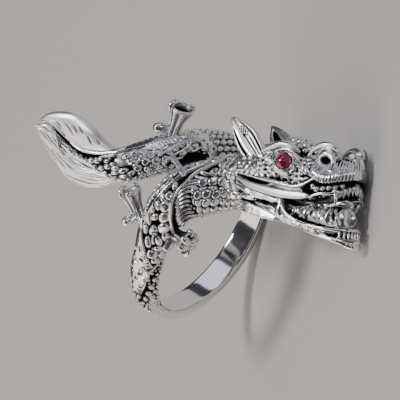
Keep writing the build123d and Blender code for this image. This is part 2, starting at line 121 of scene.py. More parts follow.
def on_floor(points):
    """Points in the finger's frame, in mm, to metres in the floor's frame."""
    return ((np.asarray(points, float) - (0, 0, SHANK_MIDDLE)) @ REST_AXES.T + hole) * MM


print("finger hole's middle in mm", hole.round(3))

# %% [markdown]
# The camera looks from the photograph's own angle. Two directions of its picture, right and up, were
# measured in the finger's frame. A long lens from far away keeps the lines as parallel as they are in
# the photograph.

# %% Camera
PICTURE_RIGHT = np.array([0.5948, 0.2956, 0.7476])
PICTURE_UP = np.array([0.2051, 0.8434, -0.4967])
PICTURE_PIXELS = 400
PIXELS_PER_MM = 9.11
HOLE_PIXEL = (211.5, 240.0)
CAMERA_DISTANCE = 1500.0
SENSOR = 36.0

towards_camera = unit(np.cross(PICTURE_RIGHT, PICTURE_UP))
picture_middle = (
    PICTURE_RIGHT * (PICTURE_PIXELS / 2 - HOLE_PIXEL[0]) + PICTURE_UP * (HOLE_PIXEL[1] - PICTURE_PIXELS / 2)
) / PIXELS_PER_MM
camera_data = bpy.data.cameras.new("photo_camera")
camera_data.sensor_width = SENSOR
camera_data.lens = SENSOR * CAMERA_DISTANCE / (PICTURE_PIXELS / PIXELS_PER_MM)
camera_data.clip_start = 0.1
camera_data.clip_end = 20.0
camera = bpy.data.objects.new("photo_camera", camera_data)
bpy.context.collection.objects.link(camera)
bpy.context.scene.camera = camera
back = Vector(REST_AXES @ towards_camera)
right = Vector(REST_AXES @ unit(PICTURE_RIGHT))
turned = Matrix((right, back.cross(right), back)).transposed().to_4x4()
camera.matrix_world = Matrix.Translation(on_floor(picture_middle + towards_camera * CAMERA_DISTANCE)) @ turned
print("lens in mm", round(camera_data.lens), "camera height in m", round(camera.location.z, 3))

# %% [markdown]
# Colours are written as sRGB hex, the way that a paint chart gives them, and one function turns them to
# the linear values that Blender counts with. One more function adds a node with its settings and its
# links.


# %% Colour and node helpers
def linear(hex_colour):
    """An sRGB hex colour as linear red, green, blue and alpha."""
    channels = [int(hex_colour[i:i + 2], 16) / 255 for i in (1, 3, 5)]
    return [c / 12.92 if c <= 0.04045 else ((c + 0.055) / 1.055) ** 2.4 for c in channels] + [1.0]


def add_node(tree, kind, settings=None, links=None):
    """A new node. Settings name its properties or its inputs' values, and links what feeds its inputs."""
    node = tree.nodes.new(kind)
    for name, value in (settings or {}).items():
        if name in node.inputs:
            node.inputs[name].default_value = value
        else:
            setattr(node, name, value)
    for name, source in (links or {}).items():
        tree.links.new(source, node.inputs[name])
    return node


def new_material(name):
    """An empty node material, and its tree with only the output node."""
    material = bpy.data.materials.new(name)
    material.use_nodes = True
    material.node_tree.nodes.clear()
    return material, material.node_tree


# %% [markdown]
# The metal is sterling silver under a thin coat of rhodium. Polished rhodium mirrors the room with a
# faint cool cast. The grooves of the relief are painted dark as shade, which is what makes the scales
# stand out. The carving writes how deep each point lies into an attribute, and the material reads it as
# painted shade: bright and smooth at 0, nearly black and dull at 1.

# %% Silver of the relief
RHODIUM = linear("#EDEDF0")
# Colour of the painted shade in grooves and hollows.
SHADE_COLOUR = linear("#120D0A")
GRAIN_MM = 0.12
GRAIN_DULLS = (0.35, 0.70)
# Roughness added where shade is painted.
SHADED_ROUGHNESS = 0.5
PIT_MM = 0.02


def cast_silver(name, polish, worn, pitted):
    """Cast and plated silver.

    Polish and worn are its roughness on bright and on dull patches, and pitted is how grainy it is.
    """
    material, tree = new_material(name)
    place = add_node(tree, "ShaderNodeTexCoord")
    grain = add_node(
        tree, "ShaderNodeTexNoise", {"Scale": 1 / (GRAIN_MM * MM), "Detail": 3.0},
        {"Vector": place.outputs["Object"]},
    )
    # How much painted shade each point carries, from 0 to 1.
    painted_shade = add_node(tree, "ShaderNodeAttribute", {"attribute_name": "painted_shade"})
    colour = add_node(tree, "ShaderNodeMix", {"data_type": "RGBA"})
    colour.inputs[6].default_value = RHODIUM
    colour.inputs[7].default_value = SHADE_COLOUR
    tree.links.new(painted_shade.outputs["Fac"], colour.inputs[0])
    patches = add_node(
        tree, "ShaderNodeMapRange",
        {"From Min": GRAIN_DULLS[0], "From Max": GRAIN_DULLS[1], "To Min": polish, "To Max": worn},
        {"Value": grain.outputs["Fac"]},
    )
    dulled = add_node(
        tree, "ShaderNodeMath", {"operation": "MULTIPLY_ADD"},
        {0: painted_shade.outputs["Fac"], 2: patches.outputs["Result"]},
    )
    dulled.inputs[1].default_value = SHADED_ROUGHNESS
    bump = add_node(
        tree, "ShaderNodeBump", {"Strength": pitted, "Distance": PIT_MM * MM},
        {"Height": grain.outputs["Fac"]},
    )
    metal = add_node(
        tree, "ShaderNodeBsdfPrincipled", {"Metallic": 1.0},
        {"Base Color": colour.outputs[2], "Roughness": dulled.outputs[0], "Normal": bump.outputs["Normal"]},
    )
    add_node(tree, "ShaderNodeOutputMaterial", None, {"Surface": metal.outputs["BSDF"]})
    return material


relief_silver = cast_silver("rhodium_plated_relief_silver", 0.15, 0.30, 0.25)
satin_silver = cast_silver("satin_rhodium_silver", 0.20, 0.30, 0.06)
brushed_silver = cast_silver("brushed_rhodium_silver", 0.30, 0.40, 0.04)
print("silvers", [material.name for material in (relief_silver, satin_silver, brushed_silver)])

# %% [markdown]
# The band is polished like a mirror on a buffing wheel. Buffing and wearing never take it evenly, so
# the roughness is low but isn't nought, and it changes in soft patches between one and two millimetres
# wide.


# %% Polished silver
WEAR_PER_MM = 0.7
BUFFED = (0.06, 0.14)


def mirror_silver(name):
    """Silver from the buffing wheel."""
    material, tree = new_material(name)
    place = add_node(tree, "ShaderNodeTexCoord")
    wear = add_node(
        tree, "ShaderNodeTexNoise", {"Scale": WEAR_PER_MM / MM, "Detail": 4.0},
        {"Vector": place.outputs["Object"]},
    )
    polish = add_node(
        tree, "ShaderNodeMapRange", {"To Min": BUFFED[0], "To Max": BUFFED[1]}, {"Value": wear.outputs["Fac"]}
    )
    metal = add_node(
        tree, "ShaderNodeBsdfPrincipled", {"Metallic": 1.0, "Base Color": RHODIUM},
        {"Roughness": polish.outputs["Result"]},
    )
    add_node(tree, "ShaderNodeOutputMaterial", None, {"Surface": metal.outputs["BSDF"]})
    return material


polished_silver = mirror_silver("buffed_rhodium_silver")

# %% [markdown]
# A ruby cabochon is a domed, polished corundum without facets. It is deep red and cloudy inside with
# fine silk, in clouds of about half a millimetre, so a part of the light goes in, is tinted and comes
# back.

# %% Ruby
RUBY_IOR = 1.77
RUBY_DEEP = linear("#740036")
RUBY_CLOUD = linear("#A00648")
SILK_PER_MM = 1.8


def ruby():
    """Corundum, cut as a dome."""
    material, tree = new_material("ruby_cabochon")
    place = add_node(tree, "ShaderNodeTexCoord")
    silk = add_node(
        tree, "ShaderNodeTexNoise", {"Scale": SILK_PER_MM / MM, "Detail": 2.0},
        {"Vector": place.outputs["Object"]},
    )
    colour = add_node(tree, "ShaderNodeMix", {"data_type": "RGBA"}, {0: silk.outputs["Fac"]})
    colour.inputs[6].default_value = RUBY_DEEP
    colour.inputs[7].default_value = RUBY_CLOUD
    stone = add_node(
        tree, "ShaderNodeBsdfPrincipled",
        {"Roughness": 0.10, "IOR": RUBY_IOR, "Transmission Weight": 0.03, "Subsurface Weight": 0.15,
         "Subsurface Radius": (0.9, 0.12, 0.12), "Subsurface Scale": 0.5 * MM},
        {"Base Color": colour.outputs[2]},
    )
    add_node(tree, "ShaderNodeOutputMaterial", None, {"Surface": stone.outputs["BSDF"]})
    return material


ruby_stone = ruby()

# %% [markdown]
# Meshes come out of arrays. This helper takes points in the finger's frame and faces as rows of point
# numbers, lays them on the floor, and stores the painted shade of each point for the material.


# %% Meshes from arrays
pieces = []


def make_piece(name, points, faces, material, painted_shade):
    """A Blender mesh from an array of points and arrays of faces, one for each number of corners."""
    mesh = bpy.data.meshes.new(name)
    corners = np.concatenate([f.ravel() for f in faces]).astype(np.int32)
    sizes = np.concatenate([np.full(len(f), f.shape[1], np.int32) for f in faces])
    mesh.vertices.add(len(points))
    mesh.vertices.foreach_set("co", on_floor(points).astype(np.float32).ravel())
    mesh.loops.add(len(corners))
    mesh.loops.foreach_set("vertex_index", corners)
    mesh.polygons.add(len(sizes))
    starts = np.concatenate([[0], np.cumsum(sizes)[:-1]])
    mesh.polygons.foreach_set("loop_start", starts.astype(np.int32))
    mesh.update(calc_edges=True)
    mesh.validate()
    mesh.shade_smooth()
    # Painted shade of each point, from 0 to 1.
    values = np.clip(painted_shade, 0, 1).astype(np.float32)
    mesh.attributes.new("painted_shade", "FLOAT", "POINT").data.foreach_set("value", values.ravel())
    mesh.materials.append(material)
    piece = bpy.data.objects.new(name, mesh)
    bpy.context.collection.objects.link(piece)
    pieces.append(piece)
    print(name, "points", len(points), "triangles", int((sizes - 2).sum()))


def grid_faces(rows, columns):
    """The quads of a grid that closes on itself across its columns."""
    number = np.arange(rows * columns).reshape(rows, columns)
    across = np.concatenate([number, number[:, :1]], axis=1)
    return np.stack([across[:-1, :-1], across[:-1, 1:], across[1:, 1:], across[1:, :-1]], -1).reshape(-1, 4)


def grid_piece(name, points, material, painted_shade=None):
    """A closed tube from a grid of points. Its rows are rings, and a point in the middle closes each end."""
    rows, columns = points.shape[:2]
    ring = np.arange(columns)
    following = np.roll(ring, -1)
    first = rows * columns
    start = np.stack([np.full(columns, first), following, ring], -1)
    last_ring = (rows - 1) * columns
    end = np.stack([np.full(columns, first + 1), last_ring + ring, last_ring + following], -1)
    ends = np.stack([points[0].mean(0), points[-1].mean(0)])
    values = np.zeros(rows * columns + 2)
    if painted_shade is not None:
        values[:-2] = painted_shade.ravel()
    every = np.concatenate([points.reshape(-1, 3), ends])
    make_piece(name, every, [grid_faces(rows, columns), np.concatenate([start, end])], material, values)


# %% [markdown]
# A strand is a curve with an oval section. Its table has one row for every section, and a cubic through
# the rows gives everything between them. The rows of the body drive the CAD solid too, so both have the
# same outline before the relief goes on.


# %% A cubic through a table
def smooth_rows(at, where, rows):
    """Values between the rows of a table: a cubic whose slope at each row is the mean of its two spans."""
    where = np.asarray(where, float)
    rows = np.asarray(rows, float).reshape(len(where), -1)
    gap = np.diff(where)[:, None]
    step = np.diff(rows, axis=0) / gap
    mixed = (gap[1:] * step[:-1] + gap[:-1] * step[1:]) / (gap[1:] + gap[:-1])
    slope = np.vstack([step[:1], mixed, step[-1:]])
    at = np.atleast_1d(np.asarray(at, float))
    k = np.clip(np.searchsorted(where, at, side="right") - 1, 0, len(where) - 2)
    t = ((at - where[k]) / (where[k + 1] - where[k]))[:, None]
    width = gap[k]
    return (
        (2 * t**3 - 3 * t**2 + 1) * rows[k] + (t**3 - 2 * t**2 + t) * width * slope[k]
        + (3 * t**2 - 2 * t**3) * rows[k + 1] + (t**3 - t**2) * width * slope[k + 1]
    )


# %% Strands
SLOPE_SPAN = 0.02
TUBE_ROUND = 28
TUBE_RINGS = 8


def sections(middles, halves, upward, at):
    """Middles, normals and half sizes of a strand's sections at some lengths along it."""
    lengths = np.concatenate([[0], np.cumsum(np.linalg.norm(np.diff(middles, axis=0), axis=1))])
    middle = smooth_rows(at, lengths, middles)
    ahead = smooth_rows(at + SLOPE_SPAN, lengths, middles)
    along = unit(ahead - smooth_rows(at - SLOPE_SPAN, lengths, middles))
    up = upward(middle)
    up = unit(up - along * (up * along).sum(1, keepdims=True))
    return middle, up, np.cross(along, up), smooth_rows(at, lengths, halves)


def strand_length(middles):
    """The length of a line through the middles, in mm."""
    return np.linalg.norm(np.diff(middles, axis=0), axis=1).sum()


def wrap_strand(middles, halves, upward, at, angles, power=2.0):
    """The grid of a strand's surface and its normals. Angle 0 is on its upward side."""
    middle, up, across, half = sections(middles, halves, upward, at)
    c, s = np.cos(angles)[None, :, None], np.sin(angles)[None, :, None]
    stretch = (np.abs(c) ** power + np.abs(s) ** power) ** (-1 / power)
    tall, wide = half[:, None, :1], half[:, None, 1:]
    points = middle[:, None] + stretch * (up[:, None] * c * tall + across[:, None] * s * wide)
    normals = unit(up[:, None] * c / tall + across[:, None] * s / wide)
    return points, normals


def smooth_tube(name, middles, halves, upward, material, spacing=0.08, power=2.0):
    """A plain tube along a few points, such as a strut, a lip or a nail."""
    middles = np.asarray(middles, float)
    long = strand_length(middles)
    at = np.linspace(0, long, max(int(long / spacing), TUBE_RINGS))
    angles = np.linspace(0, 2 * np.pi, TUBE_ROUND, endpoint=False)
    points, _ = wrap_strand(middles, np.asarray(halves, float), upward, at, angles, power)
    grid_piece(name, points, material)


def steady(way):
    """For a strand whose upward side looks the same way all along."""
    return lambda points: np.broadcast_to(way, points.shape)


# %% [markdown]
# The body is one strand from the tip of the tail to the nape: the tail's core, the loin over the far
# side of the finger, the band and the neck. Turn is the angle round the finger, lift and the half sizes
# are shares of the thickness of that stretch, and climb is how far it has moved along the finger.

# %% The body's table
NECK_DIAMETER = 6.0
LOIN_DIAMETER = 4.2
BODY_CLIMB = 10.0
TAIL_LENGTH = 12.0
LEAF_HEIGHT = 3.3
TAIL_CORE_DIAMETER = 3.6
LOIN_ROWS = [
    # turn, lift, climb, half_up, half_across: shares of LOIN_DIAMETER
    (141.8, 0.52, -0.706, 0.46, 0.46),
    (133.0, 0.52, -0.555, 0.49, 0.49),
    (121.3, 0.55, -0.387, 0.50, 0.50),
    (109.5, 0.55, -0.227, 0.50, 0.49),
    (97.0, 0.45, -0.075, 0.49, 0.46),
    (84.0, 0.31, -0.012, 0.44, 0.43),
    (70.0, 0.17, 0.0, 0.37, 0.40),
]
SHANK_ROWS = [
    # turn, lift, climb, half_up, half_across: shares of SHANK_THICKNESS, and of SHANK_WIDTH for half_across
    (52.0, 0.20, 0.0, 1.20, 0.52),
    (32.0, 0.05, 0.0, 1.06, 0.46),
    (10.0, 0.05, 0.0, 1.06, 0.46),
    (-15.0, 0.05, 0.0, 1.06, 0.46),
    (-45.0, 0.05, 0.0, 1.06, 0.46),
    (-75.0, 0.05, 0.0, 1.06, 0.46),
    (-98.0, 0.05, 0.0, 1.06, 0.48),
    (-115.0, 0.05, 0.0, 1.12, 0.54),
    (-135.0, 0.12, 0.0, 1.32, 0.57),
    (-155.0, 0.30, 0.008, 1.52, 0.59),
]
NECK_ROWS = [
    # turn, lift, climb, half_up, half_across: shares of NECK_DIAMETER
    (-170.0, 0.115, 0.022, 0.30, 0.29),
    (-183.0, 0.165, 0.027, 0.305, 0.30),
    (-192.0, 0.230, 0.020, 0.32, 0.32),
    (-202.2, 0.315, 0.028, 0.345, 0.365),
    (-213.5, 0.430, 0.076, 0.430, 0.430),
    (-223.0, 0.500, 0.155, 0.480, 0.475),
    (-231.5, 0.550, 0.300, 0.500, 0.490),
    (-242.6, 0.585, 0.502, 0.508, 0.490),
]
TAIL_CORE_ROWS = [
    # along of TAIL_LENGTH, rise of LEAF_HEIGHT, half size of TAIL_CORE_DIAMETER, from the tip to the root
    (0.97, -0.32, 0.06),
    (0.86, -0.20, 0.13),
    (0.68, -0.29, 0.20),
    (0.50, -0.34, 0.27),
    (0.32, -0.34, 0.35),
    (0.17, -0.24, 0.44),
]
TAIL_SWING = 0.06
print("rows of loin, band and neck", len(LOIN_ROWS), len(SHANK_ROWS), len(NECK_ROWS))


# %% From the table to points
def around(turn, radius, climb):
    """A point at an angle round the finger, counted from +x towards +y."""
    return np.array([radius * np.cos(np.radians(turn)), radius * np.sin(np.radians(turn)), climb])


def away_from_finger(points):
    """For a strand whose upward side looks away from the finger's axis."""
    return points * (1, 1, 0)


def body_rows():
    """Middles and half sizes of every section of loin, band and neck."""
    middles, halves = [], []
    for rows, depth, breadth in (
        (LOIN_ROWS, LOIN_DIAMETER, LOIN_DIAMETER),
        (SHANK_ROWS, SHANK_THICKNESS, SHANK_WIDTH),
        (NECK_ROWS, NECK_DIAMETER, NECK_DIAMETER),
    ):
        for turn, lift, climb, half_up, half_across in rows:
            middles.append(around(turn, BORE_RADIUS + lift * depth, SHANK_MIDDLE + climb * BODY_CLIMB))
            halves.append((half_up * depth, half_across * breadth))
    return np.array(middles), np.array(halves)


body_middles, body_halves = body_rows()
tail_root = body_middles[0]
neck_end = body_middles[-1]
print("tail's root and neck's end in mm", tail_root.round(2).tolist(), neck_end.round(2).tolist())


def tail_point(along, rise, outwards=0.0):
    """A point of the tail, counted back from its root along the finger."""
    return tail_root + np.array([-outwards, rise * LEAF_HEIGHT, -along * TAIL_LENGTH])


# %% [markdown]
# The head starts where the neck ends, and it has a frame of its own: forward along the snout, left, and
# up through the crown. It is pitched, turned and rolled as measured in the photograph. The body's
# strand runs on into the nape, so that no gap is left under the skull.

# %% The head's own frame
HEAD_LENGTH = 18.6
HEAD_HEIGHT = 5.6
HEAD_PITCH = 25.0
HEAD_YAW = 9.8
HEAD_ROLL = -15.4


def head_axes():
    """Forwards, left and up of the head, as rows in the finger's frame."""
    pitch, yaw, roll = np.radians([HEAD_PITCH, HEAD_YAW, HEAD_ROLL])
    ahead = np.array([-np.sin(yaw) * np.cos(pitch), np.sin(pitch), np.cos(yaw) * np.cos(pitch)])
    level_up = unit(np.array([0, 1, 0]) - ahead * ahead[1])
    level_left = np.cross(level_up, ahead)
    left = level_left * np.cos(roll) + level_up * np.sin(roll)
    return np.array([ahead, left, np.cross(ahead, left)])


HEAD_AXES = head_axes()


def in_head(points):
    """Points of the head's frame, in mm, to the finger's frame."""
    return np.asarray(points, float) @ HEAD_AXES + neck_end


NAPE = (0.14 * HEAD_LENGTH, 0, 0.10 * HEAD_HEIGHT)
NAPE_HALVES = (0.50 * NECK_DIAMETER, 0.47 * NECK_DIAMETER)
core_middles = np.array([tail_point(a, r, TAIL_SWING * a * TAIL_LENGTH) for a, r, _ in TAIL_CORE_ROWS])
core_halves = np.array([(s * TAIL_CORE_DIAMETER,) * 2 for _, _, s in TAIL_CORE_ROWS])
body_middles = np.vstack([core_middles, body_middles, in_head(NAPE)])
body_halves = np.vstack([core_halves, body_halves, NAPE_HALVES])
print("body strand in mm", round(strand_length(body_middles), 2), "head axes", HEAD_AXES.round(3).tolist())

# %% [markdown]
# Relief is a height map on the strand's grid: length along the strand one way, angle round it the
# other. It starts sunk everywhere, and each scale, bead, lane or ridge is a stamp that lifts its own
# patch, so what no stamp reaches stays a groove. Painted shade then follows from the height: high is
# left bright, low is painted black.


# %% Carving tools
RELIEF_CELL = 0.075
# Heights at which the painted shade starts and at which it is full.
BRIGHT_FROM = -0.06
DARK_FROM = -0.16


class Relief:
    """The height map of one stretch of the body, in mm above the plain strand."""

    def __init__(self, first, last, depth):
        self.depth = depth
        self.at = np.arange(first, last, RELIEF_CELL)
        half = sections(body_middles, body_halves, away_from_finger, self.at)[3]
        self.girth = half.mean(1)
        count = int(2 * np.pi * self.girth.max() / RELIEF_CELL)
        self.angles = np.linspace(-np.pi, np.pi, count, endpoint=False)
        self.height = np.full((len(self.at), count), -depth)

    def flat(self, length, degrees):
        """Distances in mm along and round the strand from one place, over the whole grid."""
        turn = (self.angles - np.radians(degrees) + np.pi) % (2 * np.pi) - np.pi
        return (self.at - length)[:, None], turn[None, :] * self.girth[:, None]

    def stamp(
        self, length, degrees, long, wide, top, slant=0.0, power=2.0, edge=0.5, lean=0.0, roll=0.0, rim=0.0
    ):
        """Lifts one scale or bead. Power 2 is an oval and 1 a diamond. Lean and roll tip it.

        With a rim it lies over its neighbours like a shingle, and a thin groove of that width runs round it.
        """
        reach = max(long, wide) * 1.2 + rim
        rows = np.flatnonzero(np.abs(self.at - length) < reach)
        if not len(rows):
            return
        girth = self.girth[rows].mean()
        turn = (self.angles - np.radians(degrees) + np.pi) % (2 * np.pi) - np.pi
        columns = np.flatnonzero(np.abs(turn) * girth < reach)
        x = (self.at[rows] - length)[:, None]
        y = (turn[columns] * girth)[None, :]
        c, s = np.cos(np.radians(slant)), np.sin(np.radians(slant))
        u, v = (x * c + y * s) / long, (y * c - x * s) / wide
        far = (np.abs(u) ** power + np.abs(v) ** power) ** (1 / power)
        shape = np.clip((1 - far) / edge, 0, 1)
        shape = np.sqrt(np.clip(1 - (1 - shape) ** 2, 0, 1))
        lifted = -self.depth + (top + self.depth) * shape * (1 + lean * u + roll * v)
        block = np.ix_(rows, columns)
        here = self.height[block]
        if rim:
            here = np.where((far - 1) * min(long, wide) < rim, -self.depth, here)
        self.height[block] = np.maximum(here, np.where(far < 1, lifted, -self.depth))

    def scatter(self, chance, tries, lengths, degrees, sizes, top):
        """Puts small beads where the ground is still bare, as a carver fills it with a round punch."""
        for _ in range(tries):
            length, turn = chance.uniform(*lengths), chance.uniform(*degrees)
            size = chance.uniform(*sizes)
            row = np.searchsorted(self.at, length)
            column = int((np.radians(turn) + np.pi) / (2 * np.pi) * len(self.angles)) % len(self.angles)
            step = int(size / (self.at[1] - self.at[0])) + 1
            around_it = np.s_[max(row - step, 0):row + step + 1, max(column - step, 0):column + step + 1]
            patch = self.height[around_it]
            if patch.size and patch.max() < -0.8 * self.depth:
                slant = chance.uniform(-60, 60)
                self.stamp(length, turn, size * 1.15, size, top, slant=slant, edge=0.8)

    def dimple(self, length, degrees, long, wide, slant, deep):
        """Cuts an almond with a raised lip at one side, as a punch does."""
        x, y = self.flat(length, degrees)
        c, s = np.cos(np.radians(slant)), np.sin(np.radians(slant))
        u, v = (x * c + y * s) / long, (y * c - x * s) / wide
        far = (np.abs(u) ** 1.5 + np.abs(v) ** 1.5) ** (1 / 1.5)
        pit = np.clip((1 - far) / 0.6, 0, 1)
        lip = np.exp(-((far - 1.25) / 0.25) ** 2)
        self.height = self.height - deep * pit + 0.03 * lip

    def distance(self, path):
        """Distance in mm from a path of (length, degrees) points, and how far along it the nearest one is."""
        path = np.array(path, float)
        fine = smooth_rows(np.linspace(0, len(path) - 1, 14 * len(path)), np.arange(len(path)), path)
        best = np.full(self.height.shape, np.inf)
        where = np.zeros(self.height.shape)
        for number, (length, degrees) in enumerate(fine):
            x, y = self.flat(length, degrees)
            far = np.hypot(x, y)
            nearer = far < best
            best = np.where(nearer, far, best)
            where = np.where(nearer, number / (len(fine) - 1), where)
        return best, where

    def ridge(self, path, half_width, top):
        """Lifts a rounded line along a path, thinner towards both ends."""
        far, where = self.distance(path)
        width = half_width * np.sqrt(np.clip(1 - np.abs(2 * where - 1) ** 6, 0.05, 1))
        shape = np.sqrt(np.clip(1 - (far / width) ** 2, 0, 1))
        lifted = np.where(far < width, -self.depth + (top + self.depth) * shape, -self.depth)
        self.height = np.maximum(self.height, lifted)

    def lane(self, inside, top=0.0):
        """Lifts a smooth field. Inside is 1 in it and 0 away from it."""
        self.height = np.maximum(self.height, -self.depth + (top + self.depth) * inside)

    def piece(self, name):
        """The carved strand as a mesh, cut away where the finger goes."""
        points, normals = wrap_strand(body_middles, body_halves, away_from_finger, self.at, self.angles)
        points = points + normals * self.height[..., None]
        # Painted shade: the deeper a place lies, the darker it is painted.
        painted_shade = np.clip((BRIGHT_FROM - self.height) / (BRIGHT_FROM - DARK_FROM), 0, 1)
        radius = np.hypot(points[..., 0], points[..., 1])
        inside = radius < BORE_RADIUS
        points[..., :2] *= np.where(inside, BORE_RADIUS / radius, 1)[..., None]
        painted_shade[inside] = 0
        grid_piece(name, points, relief_silver, painted_shade)


# %% [markdown]
# The band is the plain part of the ring. On the real one it is rolled or cast smooth and buffed. It is
# a section turned round the finger's axis: flat inside, slightly crowned outside, with edges that are
# rounded so that they don't cut. Its two ends run on inside the carved body.

# %% The smooth band
BAND_START = -150.0
BAND_END = 82.0
BAND_SQUARENESS = 9.0
BAND_CROWN = 0.07
BAND_STEPS = (220, 80)


def band():
    """A rounded section, turned round the finger in small steps."""
    angles = np.linspace(0, 2 * np.pi, BAND_STEPS[1], endpoint=False)
    c, s = np.cos(angles), np.sin(angles)
    stretch = (np.abs(c) ** BAND_SQUARENESS + np.abs(s) ** BAND_SQUARENESS) ** (-1 / BAND_SQUARENESS)
    deep, wide = c * stretch, s * stretch
    crown = BAND_CROWN * np.clip(deep, 0, 1) * (1 - wide**2)
    radius = BORE_RADIUS + SHANK_THICKNESS / 2 * (1 + deep) + crown
    turns = np.radians(np.linspace(BAND_START, BAND_END, BAND_STEPS[0]))[:, None]
    level = np.broadcast_to(SHANK_MIDDLE + SHANK_WIDTH / 2 * wide, (len(turns), len(angles)))
    grid_piece("band", np.stack([np.cos(turns) * radius, np.sin(turns) * radius, level], -1), polished_silver)


band()

# %% [markdown]
# The neck carries the finest relief: pebble scales in staggered rows from the head down, a smooth crest
# line that spirals over it, hair that fans out from the crest, and two columns of belly plates on its
# other side. Each kind is a loop or a short table of real sizes.

# %% Lines of the neck
CREST = [
    # length along the body, degrees round it
    (70.9, 116), (71.6, 96), (72.6, 71), (73.5, 52), (74.3, 37), (74.9, 25), (75.7, 16), (76.6, 10),
    (77.3, 4), (78.0, -4), (78.8, -10), (79.6, -16), (81.4, -24), (84.0, -26),
]
CREST_TWIN = [(72.4, 70), (73.2, 54), (74.0, 38), (74.6, 26), (75.2, 14), (75.9, 7)]
BACK_BAR = [
    (71.0, -17), (72.4, -16), (74.0, -16), (74.7, -15), (75.6, -15), (76.3, -16), (77.6, -21), (79.6, -30),
]
HAIR = [
    [(78.7, -5), (78.9, 2), (79.2, 10)],
    [(78.1, 0), (78.6, 10), (78.9, 15)],
    [(77.2, 7), (77.9, 10), (78.3, 15)],
    [(76.4, 15), (77.1, 14), (77.9, 17), (78.4, 22)],
    [(75.7, 23), (76.4, 19), (77.2, 20), (78.0, 24)],
    [(75.2, 30), (76.1, 26), (77.0, 27), (77.4, 30)],
    [(74.9, 37), (75.8, 33), (76.7, 35), (77.1, 40)],
    [(74.7, 44), (75.6, 40), (76.4, 43), (76.9, 49)],
    [(74.4, 51), (75.3, 47), (76.1, 50), (76.6, 57)],
    [(74.1, 60), (75.0, 55), (75.8, 59), (76.5, 67)],
    [(73.8, 69), (74.7, 64), (75.5, 68), (76.4, 78)],
    [(73.5, 80), (74.4, 75), (75.2, 80), (76.2, 92), (77.0, 100)],
    [(73.3, 94), (74.2, 90), (75.0, 96), (76.2, 108)],
]
print("hairs", len(HAIR), "crest from", CREST[0], "to", CREST[-1])

# %% Plates and dimples of the neck
PLATES = [
    # length, degrees, half long, half wide, slant
    (76.1, -2.0, 0.34, 0.26, -60), (75.17, 5.6, 0.44, 0.32, 84), (74.25, 15.1, 0.55, 0.42, -82),
    (73.39, 30.8, 0.54, 0.46, 47), (72.25, 46.2, 0.66, 0.56, 31), (71.15, 70.0, 0.62, 0.50, -49),
    (70.2, 92.0, 0.60, 0.48, -45), (69.7, 112.0, 0.60, 0.44, -45), (74.6, -4.0, 0.34, 0.22, -70),
    (73.83, -1.6, 0.40, 0.25, -71), (72.79, 6.1, 0.46, 0.30, 52), (71.43, 19.5, 0.52, 0.42, 6),
    (70.61, 31.9, 0.68, 0.26, -11), (70.45, 49.3, 0.62, 0.34, -45), (69.5, 66.7, 0.70, 0.34, 82),
    (68.67, 42.1, 0.60, 0.42, 89), (67.9, 60.0, 0.49, 0.30, 86), (68.6, 80.7, 0.61, 0.38, -52),
    (72.49, -40.0, 0.42, 0.26, 67), (71.9, -28.0, 0.40, 0.24, 67), (72.2, -9.3, 0.56, 0.26, -37),
    (71.03, -6.0, 0.38, 0.26, -23), (69.95, 16.2, 0.56, 0.32, -32), (73.3, -12.0, 0.40, 0.22, -60),
]
FLANK_TOP = [
    # degrees round the body, and length at which the smooth flank ends towards the head
    (-180, 72.6), (-80, 72.4), (-46, 71.6), (-23, 70.9), (-11, 70.2), (4, 69.5), (22, 68.5), (42, 67.7),
    (57, 67.2), (68, 67.5), (79, 68.3), (94, 69.0), (140, 70.5), (180, 72.6),
]
FLANK_FOOT = [
    # the same, towards the band
    (-180, 61.0), (-60, 64.0), (-32, 65.0), (-18, 64.0), (3, 62.9), (25, 62.9), (40, 64.2), (50, 65.6),
    (58, 66.3), (80, 67.4), (94, 68.2), (130, 64.0), (180, 61.0),
]
DIMPLES = [
    # in the smooth flank, with the same columns as the plates
    (67.95, 13.4, 0.40, 0.26, 60), (67.27, -15.1, 0.36, 0.20, -64), (67.01, 37.7, 0.46, 0.24, 85),
    (66.33, 17.9, 0.36, 0.26, 39), (65.53, 1.4, 0.36, 0.20, -32), (66.2, 60.0, 0.40, 0.20, -71),
    (65.35, 48.6, 0.44, 0.28, -71), (64.5, 27.6, 0.35, 0.22, 48), (68.97, -6.8, 0.40, 0.20, -22),
    (68.3, -36.0, 0.36, 0.22, 40), (66.1, -34.0, 0.40, 0.20, 57), (64.6, -18.5, 0.40, 0.20, 42),
]
DIAMONDS = [
    # below the smooth flank, with the same columns as the plates
    (64.02, 67.3, 0.56, 0.32, -38), (63.03, 53.5, 0.46, 0.34, -24), (62.04, 36.8, 0.44, 0.28, -2),
    (62.3, 8.0, 0.44, 0.28, 28), (61.69, 69.7, 0.24, 0.18, -13), (63.1, -14.0, 0.44, 0.24, 42),
    (61.1, 20.0, 0.36, 0.22, 20), (62.9, 84.0, 0.40, 0.26, -30), (65.1, 80.0, 0.44, 0.28, -40),
    (61.3, -10.0, 0.36, 0.22, 35), (60.4, 45.0, 0.32, 0.20, 0), (60.0, 2.0, 0.30, 0.18, 20),
    (59.2, 27.0, 0.26, 0.16, 10),
]
print("plates", len(PLATES), "dimples", len(DIMPLES), "diamonds", len(DIAMONDS))

# %% Pebble scales of the neck
SCALE_STEP = (0.70, 6.1)
SCALE_ROW = (0.2325, -20.06)
SCALES_FROM = (78.2, 60.0)
SCALE_ROWS_ROUND = 16
SCALE_HALVES = (0.43, 0.54)
HAIR_END = ([10, 25, 32, 60, 100], [79.0, 78.4, 77.4, 77.0, 77.0])


def wrapped(turn):
    """An angle in degrees, brought between -180 and 180."""
    return (turn + 180) % 360 - 180


